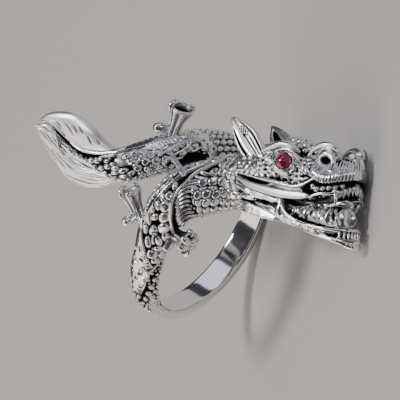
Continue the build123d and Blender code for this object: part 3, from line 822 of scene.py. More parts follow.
def pebble_scales(neck, chance):
    """Staggered rows of scales above the crest, and behind it on the hidden side."""
    crest = np.array(CREST, float)
    for row in range(SCALE_ROWS_ROUND + 2):
        for step in range(-40, 40):
            place = SCALES_FROM[0] + SCALE_STEP[0] * step + SCALE_ROW[0] * row
            turn = wrapped(SCALES_FROM[1] + SCALE_STEP[1] * step + SCALE_ROW[1] * row)
            off_long, off_turn = chance.uniform(-0.05, 0.05), chance.uniform(-1.5, 1.5)
            size = chance.uniform(0.95, 1.12)
            lean, roll = chance.uniform(-0.35, 0.1), chance.uniform(-0.3, 0.3)
            edge = np.interp(place, crest[:, 0], crest[:, 1])
            above = place > np.interp(turn, *HAIR_END) and turn > edge + 9
            past_flank = place > np.interp(turn, *np.array(FLANK_TOP).T) + 0.4
            behind = past_flank and (turn < min(edge, -14) - 16 or turn > 128)
            if above or behind:
                neck.stamp(
                    place + off_long, turn + off_turn, SCALE_HALVES[0] * size, SCALE_HALVES[1] * size, 0.07,
                    slant=14.0, power=2.0, edge=0.5, lean=lean, roll=roll, rim=0.05,
                )


# %% Crest, hair and plates of the neck
CREST_GROOVE = 0.34


def flank(neck):
    """A smooth field between the plates above it and the diamonds below."""
    length, degrees = neck.at[:, None], np.degrees(neck.angles)[None, :]
    top = np.interp(degrees, *np.array(FLANK_TOP, float).T)
    foot = np.interp(degrees, *np.array(FLANK_FOOT, float).T)
    neck.lane(np.clip((top - length) / 0.15, 0, 1) * np.clip((length - foot) / 0.2, 0, 1), 0.0)


def crest_and_plates(neck, chance):
    """The crest lies in a groove of its own, over the hair and the plates."""
    crest_far, _ = neck.distance(CREST)
    neck.lane(np.clip((CREST_GROOVE - crest_far) / 0.12, 0, 1), -0.12)
    for rows in HAIR:
        neck.ridge(rows, 0.17, 0.05)
    for rows, power, edge, top, grow in ((PLATES, 2.4, 0.6, 0.11, 1.22), (DIAMONDS, 1.5, 0.7, 0.05, 1.1)):
        for place, turn, long, wide, slant in rows:
            neck.stamp(
                place, turn, long * grow, wide * grow, top, slant=slant, power=power, edge=edge,
                lean=chance.uniform(-0.2, 0.2), roll=chance.uniform(-0.2, 0.2), rim=0.04,
            )
    neck.ridge(CREST, 0.16, 0.24)
    neck.ridge(CREST_TWIN, 0.10, 0.13)
    neck.ridge(BACK_BAR, 0.26, 0.12)


# %% Punched flank of the neck
PUNCH_FROM = (66.3, 17.9)
PUNCH_STEP = (-1.75, 9.0)
PUNCH_ROW = (-0.9, 27.0)
DIAMONDS_FROM = 59.5


def punched_flank(neck):
    """Almonds with a pip in them, as in the photograph, and plain rows of them on the sides that it hides."""
    for place, turn, long, wide, slant in DIMPLES:
        neck.dimple(place, turn, 1.35 * long, 1.55 * wide, slant, 0.20)
        neck.stamp(place + 0.04, turn, 0.85 * long, 0.85 * wide, -0.02, slant=slant, power=1.6, edge=0.6)
    for row in range(13):
        for step in range(-12, 13):
            place = PUNCH_FROM[0] + PUNCH_STEP[0] * step + PUNCH_ROW[0] * row
            turn = wrapped(PUNCH_FROM[1] + PUNCH_STEP[1] * step + PUNCH_ROW[1] * row)
            if turn > 95 or turn < -48:
                if place > np.interp(turn, *np.array(FLANK_FOOT).T):
                    neck.dimple(place, turn, 0.36, 0.20, 40.0, 0.18)
                elif place > DIAMONDS_FROM:
                    neck.stamp(place, turn, 0.44, 0.28, 0.05, slant=30.0, power=1.5, edge=0.7)


# %% Carve the neck
NECK_DEPTH = 0.24
NECK_GROUND = [
    # beads tried, range of length, range of degrees, range of sizes, top
    (1500, (58.0, 66.0), (-180, 180), (0.14, 0.26), 0.02),
    (500, (76.2, 84.0), (40, 180), (0.12, 0.20), 0.0),
    (400, (79.2, 84.0), (-60, 40), (0.12, 0.20), 0.0),
    (300, (66.5, 72.0), (10, 100), (0.12, 0.18), -0.02),
]
BAND_MEETS_NECK = 57.0

neck = Relief(55.0, 84.4, NECK_DEPTH)
chance = np.random.RandomState(7)
pebble_scales(neck, chance)
flank(neck)
crest_and_plates(neck, chance)
punched_flank(neck)
for row in NECK_GROUND:
    neck.scatter(chance, *row)
shallow = np.maximum(neck.height, -0.10)
neck.height = np.where(neck.at[:, None] < BAND_MEETS_NECK, shallow, neck.height)
neck.piece("neck")

# %% [markdown]
# The loin is the stretch on the far side of the finger. It was carved more freely: a smooth grey back
# with almond dimples, bright lines that run along it, pits with a bead in them and big round beads
# below. So its places come from tables. Towards the band it turns into small overlapping scales, and
# the rows that face away from the camera are regular. Where one looks between the strands into the
# dark, the skin is sunk and painted black as shade.

# %% Lines and beads of the loin
LOIN_LINES = [
    # paths of length and degrees
    [(9.4, -1), (10.9, -10), (11.9, -20), (13.1, -21), (14.1, -14), (15.2, -13), (15.9, -17), (16.6, -23)],
    [(12.0, 9), (12.6, 8), (13.6, 9), (14.1, 8), (14.6, 0)],
    [(13.0, 38), (13.4, 33), (14.1, 24), (14.7, 19), (15.1, 15)],
    [(14.8, 44), (15.6, 38), (16.2, 33), (17.0, 29), (17.7, 24), (18.6, 19), (19.6, 14), (20.6, 12)],
    [(16.1, 68), (16.8, 56), (17.5, 47), (18.1, 43), (18.6, 37), (19.1, 30)],
    [(17.3, 63), (18.5, 61), (19.3, 53), (19.9, 46), (20.5, 44)],
    [(14.2, 76), (14.8, 70), (15.6, 72), (16.2, 68)],
]
LOIN_BEADS = [
    # length, degrees, half long, half wide
    (14.4, 38.2, 0.45, 0.41), (13.43, 49.2, 0.39, 0.36), (14.31, 64.4, 0.37, 0.33),
    (15.49, 50.8, 0.44, 0.36), (16.38, 51.7, 0.36, 0.33), (18.21, 49.4, 0.40, 0.36),
    (18.92, 42.0, 0.39, 0.33), (19.47, 37.4, 0.31, 0.25), (15.4, 67.4, 0.29, 0.24),
    (13.11, 25.7, 0.35, 0.25), (12.76, 58.4, 0.29, 0.23), (12.25, 66.3, 0.41, 0.22),
    (11.39, 19.2, 0.24, 0.20), (10.78, 33.0, 0.34, 0.27), (9.84, 46.8, 0.38, 0.27),
    (11.53, 51.2, 0.29, 0.20), (14.93, 57.2, 0.22, 0.20), (13.52, 69.7, 0.27, 0.23),
    (12.2, 44.0, 0.34, 0.28), (11.6, 34.0, 0.30, 0.26), (10.6, 12.0, 0.34, 0.24),
    (17.2, 66.0, 0.34, 0.30), (11.9, 5.0, 0.34, 0.26), (12.7, -4.0, 0.36, 0.24), (13.5, -5.0, 0.34, 0.24),
    (9.04, 20.99, 0.42, 0.34), (8.3, 33.0, 0.36, 0.30), (7.6, 52.0, 0.26, 0.22), (6.7, 62.0, 0.20, 0.18),
    (5.8, 66.0, 0.16, 0.16), (5.0, 66.0, 0.14, 0.14), (8.8, 66.0, 0.26, 0.24), (9.5, 8.0, 0.30, 0.24),
    (12.9, 16.0, 0.28, 0.20), (16.1, 62.0, 0.22, 0.20), (20.4, 52.0, 0.28, 0.24),
]
print("lines", len(LOIN_LINES), "beads", len(LOIN_BEADS))

# %% Pits and dashes of the loin
LOIN_CELLS = [
    # rings with a pit: length, degrees, half long, half wide
    (15.15, 25.4, 0.34, 0.30), (15.86, 21.0, 0.35, 0.28), (16.55, 15.2, 0.28, 0.22),
    (17.03, 37.2, 0.28, 0.24), (17.59, 32.2, 0.26, 0.20), (13.83, 13.8, 0.34, 0.25),
    (14.5, 8.0, 0.28, 0.22), (18.2, 27.5, 0.22, 0.17), (18.9, 24.0, 0.20, 0.16), (13.2, 3.0, 0.32, 0.20),
    (12.2, -9.0, 0.34, 0.20),
]
LOIN_DASHES = [
    # length, degrees, half long, half wide
    (15.6, 2.7, 0.15, 0.10), (16.43, 1.7, 0.17, 0.12), (17.06, 1.2, 0.2, 0.14), (17.8, 0.0, 0.2, 0.14),
    (18.6, 1.0, 0.18, 0.13), (19.4, 4.0, 0.17, 0.13), (20.03, -0.3, 0.18, 0.14), (20.56, -7.8, 0.22, 0.16),
    (21.02, -13.7, 0.22, 0.16), (21.57, -10.6, 0.24, 0.14), (21.2, 9.8, 0.18, 0.14), (21.77, 6.3, 0.19, 0.13),
    (21.44, 34.3, 0.17, 0.15), (20.81, 38.2, 0.16, 0.14), (21.45, 54.0, 0.18, 0.15), (20.97, 60.0, 0.2, 0.12),
    (20.4, 24.0, 0.2, 0.14), (21.1, 24.0, 0.18, 0.13), (22.2, 20.0, 0.2, 0.14), (22.3, 44.0, 0.2, 0.14),
    (22.5, -6.0, 0.2, 0.14), (23.2, 8.0, 0.2, 0.14), (23.3, 32.0, 0.2, 0.14), (24.1, 20.0, 0.2, 0.14),
    (24.2, -4.0, 0.2, 0.14), (19.6, -16.0, 0.2, 0.14), (18.9, -13.0, 0.2, 0.14),
]
print("pits", len(LOIN_CELLS), "dashes", len(LOIN_DASHES))

# %% Back and rows of the loin
BACK_EDGE = [
    # length, and degrees at which the smooth back ends
    (0.0, 0), (9.0, 0), (11.0, -10), (12.0, -20), (13.1, -21), (14.1, -14), (15.0, 9), (16.0, 30),
    (17.0, 27), (18.0, 22), (19.0, 18), (19.8, 30), (20.6, 62), (22.0, 120), (24.0, 181), (40.0, 181),
]
BACK_START = ([0, 20, 24, 40], [-60, -60, -181, -181])
BEAD_ROWS = [
    # degrees, half wide
    (-50.0, 0.16), (-74.0, 0.26), (-98.0, 0.30), (86.0, 0.28), (106.0, 0.30), (128.0, 0.30), (150.0, 0.30),
    (172.0, 0.30), (-122.0, 0.30), (-146.0, 0.30),
]
BEAD_FROM, BEAD_STEP, BEAD_COUNT = 10.6, 0.62, 22
BEADS_END = 21.5
LONGER_BEHIND = 2.0
SCALY_BACK = (21.0, 29.3)
LOWER_UNDER_SCALES = 0.62
BACK_TOP = -0.03


def between(value, low, high, soft=0.4):
    """1 between low and high, 0 outside them, and a slope of the soft width inside each."""
    return np.clip((value - low) / soft, 0, 1) * np.clip((high - value) / soft, 0, 1)


def smooth_back(loin):
    """A back that widens towards the band, and is lower where the scales lie on it."""
    length, degrees = loin.at[:, None], np.degrees(loin.angles)[None, :]
    edge = np.interp(length, *np.array(BACK_EDGE, float).T)
    start = np.interp(length, *BACK_START)
    scaly = between(length, *SCALY_BACK, 0.8)
    inside = np.clip((edge - degrees) / 4, 0, 1) * np.clip((degrees - start) / 6, 0, 1)
    loin.lane(inside * np.clip((length - 10.4) / 1.2, 0, 1) * (1 - LOWER_UNDER_SCALES * scaly), BACK_TOP)


def bead_rows(loin, chance):
    """Staggered rows on the sides that the photograph doesn't show."""
    for number in range(BEAD_COUNT):
        place = BEAD_FROM + BEAD_STEP * number
        for turn, wide in BEAD_ROWS:
            shift = BEAD_STEP / 2 * (round(abs(turn) / 22) % 2) + chance.uniform(-0.05, 0.05)
            if place + shift < BEADS_END + (turn < 0) * LONGER_BEHIND:
                turn_off = chance.uniform(-2, 2)
                loin.stamp(place + shift, turn + turn_off, 0.33, wide + 0.04, 0.06, power=2.2, edge=0.6)


# %% Beads, pits and dashes go on
def beads_and_pits(loin, chance):
    """Pits with a bead in them and big beads, then small beads where the ground is still bare."""
    for place, turn, long, wide in LOIN_CELLS:
        loin.stamp(place, turn, long + 0.10, wide + 0.10, 0.06, power=1.8, edge=0.35)
        loin.dimple(place, turn, long, wide, 30.0, 0.22)
        loin.stamp(place, turn, 0.55 * long, 0.55 * wide, 0.02, power=2.0, edge=0.9)
    for place, turn, long, wide in LOIN_BEADS:
        loin.stamp(place, turn, long * 1.15, wide * 1.15, 0.11, power=2.2, edge=0.7, rim=0.04)
    length, degrees = loin.at[:, None], np.degrees(loin.angles)[None, :]
    ground = np.clip((34 - degrees) / 8, 0, 1) * np.clip((degrees + 60) / 6, 0, 1)
    loin.lane(ground * np.clip(np.minimum(length - 11, 21 - length) / 1.2, 0, 1), -0.10)
    loin.scatter(chance, 2200, (10.4, 24.0), (-60, 110), (0.11, 0.24), 0.03)


def lines_and_dashes(loin):
    """Bright lines along the back, and the dashes of a round graver with a bright burr."""
    for rows in LOIN_LINES:
        loin.ridge(rows, 0.15, 0.17)
    for place, turn, long, wide in LOIN_DASHES:
        loin.dimple(place - 0.10, turn, long * 1.3, wide * 1.3, 40.0, 0.13)
        loin.stamp(place + 0.06, turn, long * 1.2, wide, 0.08, slant=40.0, power=2.0, edge=0.9)


# %% Scales near the band, and the gap painted dark as shade
SHINGLES_START = ([-60, 10, 60], [19.5, 21.0, 21.6])
SHINGLES_END = 29.0
SHINGLES_FROM = 21.6
SHINGLE_STEP = 0.66
SHINGLE_TURN = 21.2
GAP_MIDDLE = 19.0
GAP_HALF = 1.7
GAP_DEEP = 0.55
GAP_TOP = 54
GAP_POINTED = 26


def loin_scales(loin, chance):
    """Small shingles in staggered rows, each tipped a little its own way."""
    for row in range(17):
        for step in range(-2, 12):
            place = SHINGLES_FROM + SHINGLE_STEP * step + SHINGLE_STEP / 2 * (row % 2)
            turn = SHINGLE_TURN * row - 180
            if np.interp(turn, *SHINGLES_START) < place < SHINGLES_END:
                loin.stamp(
                    place, turn, 0.32, 0.31, 0.09, slant=30.0, edge=0.6, lean=chance.uniform(-0.4, 0.2),
                    roll=chance.uniform(-0.3, 0.3), rim=0.05,
                )


def sink_gap(loin):
    """A sunk field, pointed at both ends, painted black as shade by its depth."""
    length, degrees = loin.at[:, None], np.degrees(loin.angles)[None, :]
    top = GAP_TOP + GAP_POINTED * ((length - GAP_MIDDLE) / GAP_HALF) ** 2
    gap = np.clip((degrees - top) / 4, 0, 1) * np.clip((150 - degrees) / 5, 0, 1)
    gap = gap * np.clip((GAP_HALF * 1.25 - np.abs(length - GAP_MIDDLE)) / 0.4, 0, 1)
    loin.height = loin.height * (1 - gap) - GAP_DEEP * gap


# %% Carve the loin
LOIN_DEPTH = 0.22
TAIL_CORE_END = 10.2

loin = Relief(0.7, 31.5, LOIN_DEPTH)
chance = np.random.RandomState(11)
smooth_back(loin)
bead_rows(loin, chance)
beads_and_pits(loin, chance)
lines_and_dashes(loin)
loin_scales(loin, chance)
sink_gap(loin)
sunk = np.clip((TAIL_CORE_END - loin.at[:, None]) / 0.8, 0, 1) * np.minimum(0.22, 0.25 * loin.girth[:, None])
loin.height = np.where(loin.height > -loin.depth + 0.02, loin.height, loin.height - sunk)
loin.piece("loin")

# %% [markdown]
# The head is too round and too folded for grids, so it is modelled like clay. A block of small cells
# holds, for each cell, its distance to the surface: below nought is metal and above nought is air.
# Lumps are added with soft seams, hollows are cut, and OpenVDB turns the block into a mesh. A blurred
# copy of the block tells how deep a place lies: where the blur says metal and the surface lies lower,
# there is a groove, and it is painted dark as shade. A second block holds the distance to the hollows
# that are painted black all over as shade. Rough skin can leave grains of metal that hang in the air,
# so only the biggest part of the mesh that hangs together is kept.

# %% What hangs together
def biggest_part(points, quads):
    """The biggest part of a mesh: the lowest number is handed on along its edges until nothing changes."""
    label = np.arange(len(points))
    pairs = np.concatenate([quads[:, [k, (k + 1) % 4]] for k in range(4)])
    while True:
        lowest = label.copy()
        np.minimum.at(lowest, pairs[:, 0], label[pairs[:, 1]])
        np.minimum.at(lowest, pairs[:, 1], label[pairs[:, 0]])
        lowest = lowest[lowest]
        if (lowest == label).all():
            break
        label = lowest
    keep = label == np.bincount(label).argmax()
    print("left out", int((~keep).sum()), "points of loose grains")
    return points[keep], (np.cumsum(keep) - 1)[quads[keep[quads[:, 0]]]]


# %% Depth of a groove
CLAY_CELL = 0.11
GROOVE_BLUR = 0.32


def blurred(block):
    """A block of numbers, averaged twice along each axis."""
    width = max(int(round(GROOVE_BLUR / CLAY_CELL)), 1)
    soft = block.copy()
    for _ in range(2):
        for axis in range(3):
            before = [np.take(soft, [0], axis)] * (width + 1)
            after = [np.take(soft, [-1], axis)] * width
            total = np.cumsum(np.concatenate(before + [soft] + after, axis), axis, dtype=np.float64)
            count = soft.shape[axis]
            upper = np.take(total, range(2 * width + 1, 2 * width + 1 + count), axis, mode="clip")
            soft = ((upper - np.take(total, range(count), axis)) / (2 * width + 1)).astype(np.float32)
    return soft


def read_block(block, points):
    """A block's values at points between its cells."""
    base = np.clip(np.floor(points).astype(int), 0, np.array(block.shape) - 2)
    part = points - base
    value = np.zeros(len(points))
    for corner in np.ndindex(2, 2, 2):
        weight = np.prod(np.where(corner, part, 1 - part), axis=1)
        value += weight * block[tuple((base + corner).T)]
    return value


# %% Clay
FAR_AWAY = 5.0
# How the painted shade of grooves and of blackened hollows fades in.
BRIGHT_RIM = 0.12
BLACK_SHADE_FADE = 0.10
GROOVE_DARK = 0.06
TINY = 1e-3


def soft_min(a, b, seam):
    """The union of two distances, with a fillet about as wide as the seam."""
    blend = np.clip(0.5 + 0.5 * (b - a) / seam, 0, 1)
    return b + (a - b) * blend - seam * blend * (1 - blend)


class Clay:
    """A block of distances in the head's frame, in mm: forward, left and up."""

    def __init__(self, low, high):
        self.low = np.array(low, float)
        self.axes = [np.arange(a, b, CLAY_CELL).astype(np.float32) for a, b in zip(low, high)]
        self.body = np.full([len(a) for a in self.axes], FAR_AWAY, np.float32)
        # Distance to the places that are painted black as shade.
        self.black_shade = self.body.copy()

    def block(self, low, high):
        """The part of the block between two corners, as slices and as its three coordinates."""
        cuts = tuple(
            slice(*np.clip(np.searchsorted(axis, [a, b]), 0, len(axis)))
            for axis, a, b in zip(self.axes, low, high)
        )
        lines = [axis[cut] for axis, cut in zip(self.axes, cuts)]
        return cuts, np.meshgrid(*lines, indexing="ij", sparse=True)

    def join(self, cuts, shape, seam, cut_away=False, painted_black=False):
        """Adds a shape or cuts it away. What is added stays unshaded, and what is flagged is painted black
        all over as shade.
        """
        if cut_away:
            self.body[cuts] = -soft_min(-self.body[cuts], shape, seam)
        else:
            self.body[cuts] = soft_min(self.body[cuts], shape, seam)
            self.black_shade[cuts] = np.maximum(self.black_shade[cuts], BRIGHT_RIM - shape)
        if painted_black:
            self.black_shade[cuts] = np.minimum(self.black_shade[cuts], shape)

    def loft(self, rows, seam=0.3, power=2.3):
        """A lump with an oval section at each row: forward, half width, top and bottom."""
        rows = np.array(rows)
        cuts, (f, l, t) = self.block([rows[0, 0] - 1, -9, -9], [rows[-1, 0] + 1, 9, 9])
        at = np.clip(f[:, 0, 0], rows[0, 0], rows[-1, 0])
        wide, top, bottom = smooth_rows(at, rows[:, 0], rows[:, 1:]).T[:, :, None, None]
        wide = np.maximum(wide, 0.05)
        tall = np.maximum((top - bottom) / 2, 0.05)
        u, v = np.abs(l) / wide, np.abs(t - (top + bottom) / 2) / tall
        far = (u**power + v**power) ** (1 / power)
        steep = np.hypot((u / np.maximum(far, TINY)) / wide, (v / np.maximum(far, TINY)) / tall)
        shape = (far - 1) / np.maximum(steep, TINY) + np.abs(f - at[:, None, None])
        self.join(cuts, np.clip(shape, -FAR_AWAY, FAR_AWAY), seam)

    def ball(self, centre, radii, seam=0.15, aim=None, cut_away=False, painted_black=False):
        """An egg, and its twin on the other side. Aim is the way that its first radius points."""
        for way in (1, -1):
            middle = np.array(centre, float) * (1, way, 1)
            radii = np.broadcast_to(np.asarray(radii, float), 3)
            frame = np.eye(3)
            if aim is not None:
                first = unit(np.array(aim, float) * (1, way, 1))
                second = unit(np.cross((0, 0, 1), first))
                frame = np.array([first, second, np.cross(first, second)])
            reach = radii.max() + 3 * seam + 0.4
            cuts, (f, l, t) = self.block(middle - reach, middle + reach)
            off = (f - middle[0], l - middle[1], t - middle[2])
            local = [row[0] * off[0] + row[1] * off[1] + row[2] * off[2] for row in frame]
            far = np.sqrt(sum((x / r) ** 2 for x, r in zip(local, radii)))
            steep = np.sqrt(sum((x / r**2) ** 2 for x, r in zip(local, radii))) / np.maximum(far, TINY)
            self.join(cuts, (far - 1) / np.maximum(steep, 1 / radii.max()), seam, cut_away, painted_black)

    def rod(self, points, radii, seam=0.12, cut_away=False, painted_black=False):
        """A line of varying thickness through a few points, and its twin on the other side."""
        points, radii = np.array(points, float), np.asarray(radii, float)
        count = len(points)
        fine = np.linspace(0, count - 1, 4 * (count - 1) + 1) if count > 2 else np.arange(2)
        path = smooth_rows(fine, np.arange(count), points) if count > 2 else points
        size = np.interp(fine, np.linspace(0, count - 1, radii.size), radii.ravel())
        for way in (1, -1):
            line = path * (1, way, 1)
            reach = size.max() + 3 * seam + 0.4
            cuts, (f, l, t) = self.block(line.min(0) - reach, line.max(0) + reach)
            best = None
            for a, b, r, q in zip(line[:-1], line[1:], size[:-1], size[1:]):
                run = b - a
                along = (f - a[0]) * run[0] + (l - a[1]) * run[1] + (t - a[2]) * run[2]
                share = np.clip(along / max(run @ run, 1e-9), 0, 1)
                far = np.sqrt(sum((x - p - share * d) ** 2 for x, p, d in zip((f, l, t), a, run)))
                far = far - (r + (q - r) * share)
                best = far if best is None else np.minimum(best, far)
            self.join(cuts, best, seam, cut_away, painted_black)

    def press(self, amount, low, high, where):
        """Presses a pattern into the skin between two corners. Where gives its depth's share at each cell."""
        cuts, (f, l, t) = self.block(low, high)
        self.body[cuts] += amount * where(f, l, t)

    def piece(self, name, material):
        """The clay as a mesh, with painted shade in its grooves and painted black in its hollows."""
        grid = openvdb.FloatGrid(1.0)
        grid.copyFromArray(self.body)
        grid.transform = openvdb.createLinearTransform(voxelSize=CLAY_CELL)
        points, _, quads = grid.convertToPolygons(isovalue=0.0, adaptivity=0.0)
        points, quads = biggest_part(np.asarray(points, float) / CLAY_CELL, np.asarray(quads))
        # Painted shade: dark where the surface lies under the blurred clay, black in the flagged hollows.
        grooves = np.clip(-read_block(blurred(self.body), points) / GROOVE_DARK, 0, 1)
        hollows = np.clip(1.1 - read_block(self.black_shade, points) / BLACK_SHADE_FADE, 0, 1)
        points = in_head(points * CLAY_CELL + self.low)
        make_piece(name, points, [quads[:, ::-1]], material, np.maximum(grooves, hollows))


# %% [markdown]
# First the big lumps: the skull with its muzzle, the cheeks, the bulbs of the nostrils and the lower
# jaw with the tongue. The rows count in millimetres from the end of the neck. They follow the CAD
# model, but most are a few tenths of a millimetre smaller, because curls, lips and brows go on top.

# %% The head's big forms
SKULL_ROWS = [
    # forward, half width, top, bottom
    (0.4, 2.45, 2.7, -2.4),
    (1.9, 2.75, 3.6, -1.9),
    (3.4, 2.95, 4.3, -0.9),
    (6.3, 3.05, 5.1, -0.75),
    (8.9, 2.85, 5.1, -0.85),
    (11.3, 2.45, 4.4, -0.8),
    (13.3, 2.35, 4.3, -0.5),
    (15.2, 2.45, 4.3, 0.1),
    (16.8, 2.15, 4.0, 0.8),
    (17.9, 1.55, 3.5, 1.5),
    (18.5, 0.6, 2.9, 2.2),
]
JAW_ROWS = [
    # forward, half width, top, bottom
    (3.2, 2.2, -0.6, -3.2),
    (8.0, 2.5, -1.5, -3.5),
    (11.0, 2.45, -2.4, -3.8),
    (14.0, 2.3, -3.1, -4.2),
    (17.0, 2.1, -3.5, -4.65),
    (19.0, 1.55, -3.6, -4.75),
    (19.8, 0.7, -3.9, -4.6),
]
TONGUE_ROWS = [
    # forward, half width, top, bottom
    (9.6, 1.3, -1.75, -3.0),
    (11.6, 1.8, -1.3, -3.3),
    (14.6, 1.9, -1.0, -3.6),
    (17.0, 1.7, -0.75, -3.7),
    (18.2, 1.15, -0.85, -3.5),
    (18.7, 0.4, -1.3, -3.0),
]
EYE_SEAT = np.array([9.523, -2.752, 2.884])
EYE_LOOK = unit(np.array([0.30, -0.90, 0.32]))
NOSTRIL = np.array([15.07, -1.86, 4.2])
NOSTRIL_LOOK = unit(np.array([0.45, -0.85, -0.15]))

SKULL_LUMPS = [
    # centre, radii, seam: bulb of the nostril, cheek, rim of the eye
    ((15.1, -1.85, 4.2), (1.35, 1.02, 1.25), 0.3),
    ((6.0, -2.3, 1.3), (3.0, 1.0, 1.5), 0.4),
    ((9.4, -2.3, 2.9), (1.9, 1.1, 1.6), 0.3),
]
JAW_LUMPS = [
    # the same: knob of the chin, corner of the mouth
    ((19.2, -0.2, -4.9), (1.0, 0.8, 0.45), 0.3),
    ((9.8, -2.35, -2.1), (0.5, 0.45, 0.95), 0.15),
]

head = Clay((-0.6, -4.2, -6.2), (20.9, 4.2, 6.6))
for rows, lumps in ((SKULL_ROWS, SKULL_LUMPS), (JAW_ROWS, JAW_LUMPS)):
    head.loft(rows)
    for centre, radii, seam in lumps:
        head.ball(centre, radii, seam=seam)
head.loft(TONGUE_ROWS, seam=0.15)
print("cells in the block", head.body.shape)

# %% [markdown]
# The skin of a cast dragon is never plain: the cheeks are dented all over, and the tongue and the sides
# of the jaw are wrinkled. Crossing waves press those lumps in. They are masked, so that the places that
# were polished on the real ring stay smooth.


# %% Uneven lumps
def uneven(f, l, t, size, seed):
    """Lumps of about one size in mm, from crossing waves that are the same each time."""
    waves = np.random.RandomState(seed)
    total = 0
    for _ in range(9):
        way = unit(waves.normal(size=3)) * 2 * np.pi / (size * waves.uniform(0.75, 1.4))
        total = total + np.sin(way[0] * f + way[1] * l + way[2] * t + waves.uniform(0, 6.28))
    return total / 3


# %% Skin of the head
THROAT_PLATE = 0.85


def cheek_skin(f, l, t):
    """Short wrinkles that run down and forward. They end at the eye's collar."""
    off_eye = np.clip((np.hypot(f - EYE_SEAT[0], t - EYE_SEAT[2]) - 1.45) / 0.2, 0, 1)
    wrinkles = uneven(0.62 * f, l, t + 0.35 * f, 0.40, 3)
    return wrinkles * between(f, 2.2, 13.4) * between(t, 0.3, 4.4) * between(np.abs(l), 1.6, 9) * off_eye


def gill_skin(f, l, t):
    """Flowing skin: the lumps are long, because the waves are counted along a slanted way."""
    folds = uneven(0.22 * f, 0.5 * l, t + 0.28 * f, 0.40, 6)
    return folds * between(f, 1.2, 10.0) * between(t, -3.9, -0.3) * between(np.abs(l), 1.6, 9)


def jaw_skin(f, l, t):
    """Round lumps on the sides of the lower jaw."""
    lumps = uneven(f, l, t, 0.60, 5)
    return lumps * between(f, 9.6, 18.6) * between(t, -5.6, -2.9, 0.2) * between(np.abs(l), 1.2, 9)


def throat_plates(f, l, t):
    """Belly plates that go on under the jaw."""
    plates = np.clip(np.cos(2 * np.pi * (f + 0.25 * np.abs(l)) / THROAT_PLATE), -0.3, 1)
    return plates * between(f, 3.6, 17.5) * between(np.abs(l), -1, 1.5) + 0 * t


def tongue_skin(f, l, t):
    """Folds that stand upright on the sides of the tongue."""
    folds = uneven(1.2 * f, l, 0.4 * t, 0.75, 8)
    return folds * between(f, 9.8, 18.8) * between(t, -3.0, 0.2) * np.clip((2.1 - np.abs(l)) / 0.3, 0, 1)


def crown_skin(f, l, t):
    """Big lumps on top, between the brows."""
    lumps = uneven(f, l, t, 0.80, 9)
    return lumps * between(f, 1.0, 13.5) * between(t, 3.4, 6.4) * np.clip((2.2 - np.abs(l)) / 0.4, 0, 1)


# %% Press the skins in
JOWL = [(2.6, -2.45, -0.35), (4.6, -2.52, -0.70), (7.2, -2.50, -1.08), (9.8, -2.40, -1.30)]
SKINS = [
    # depth in mm, lower and upper corner, pattern
    (0.060, (1.0, -4.2, -4.2), (10.4, 4.2, -0.2), gill_skin),
    (0.064, (1.5, -4.2, 0.0), (14, 4.2, 4.6), cheek_skin),
    (0.090, (3, -2.2, -5.6), (18, 2.2, -2.6), throat_plates),
    (0.070, (9, -4.2, -5.8), (19, 4.2, -2.7), jaw_skin),
    (0.110, (9, -2.4, -3.2), (19, 2.4, 0.4), tongue_skin),
    (0.060, (0.5, -2.4, 3.2), (14, 2.4, 6.5), crown_skin),
]

head.rod(JOWL, (0.30, 0.40, 0.42, 0.30), seam=0.15)
for depth, low, high, pattern in SKINS:
    head.press(depth, low, high, pattern)
print("skins pressed in", len(SKINS))

# %% [markdown]
# Now the lines of the face, each a rod of clay: the lower edge of the cheek and the groove under it,
# which is painted black as shade, the lines from the ear's foot, the flowing skin of the gill, the curls
# of the forehead and the fringe of the muzzle. The fringe hangs over a row of pearls, and behind them
# lies a gum painted black as shade. Pearls and upper teeth grow out of the gum, so that none of them
# floats in the dark.

# %% Lines of the face
CHEEK_EDGE = [
    # forward, left and up, as in all lines of the face
    (3.6, -2.9, 1.0), (6.4, -3.2, 0.75), (9.2, -3.1, 0.58), (11.5, -2.9, 0.42), (12.9, -2.7, 0.85),
    (14.3, -2.55, 1.75),
]
LIP_GROOVE = [
    (3.0, -2.9, 0.66), (5.3, -3.08, 0.36), (7.1, -3.10, 0.18), (9.2, -3.02, 0.10), (11.4, -2.80, 0.06),
    (13.0, -2.60, 0.20), (14.0, -2.60, 0.42),
]
GUM = [
    (12.8, -2.10, 0.30), (13.8, -2.25, 0.36), (14.8, -2.28, 0.44), (15.8, -2.16, 0.56), (16.7, -1.92, 0.78),
    (17.5, -1.48, 1.10), (18.0, -0.85, 1.42), (18.12, 0.0, 1.60),
]
EAR_LINES = [
    [(5.0, -2.85, 3.1), (6.2, -3.15, 2.5), (7.6, -3.30, 1.75)],
    [(4.7, -2.85, 2.7), (5.9, -3.20, 2.1), (7.2, -3.35, 1.45)],
    [(4.3, -2.85, 2.3), (5.4, -3.20, 1.8), (6.6, -3.40, 1.20)],
]
GILL_LINES = [
    [(3.0 + 0.1 * k, -2.60, -1.85 - 0.28 * k), (5.2, -2.72, -2.20 - 0.25 * k),
     (7.4, -2.62, -2.60 - 0.19 * k), (9.4, -2.45, -3.05 - 0.11 * k)]
    for k in range(5)
]
LASHES = [
    [(11.6 + 0.27 * k, -2.80 + 0.03 * k, 2.75 - 0.02 * k),
     (12.2 + 0.27 * k, -2.78 + 0.05 * k, 1.95 - 0.02 * k)]
    for k in range(6)
]

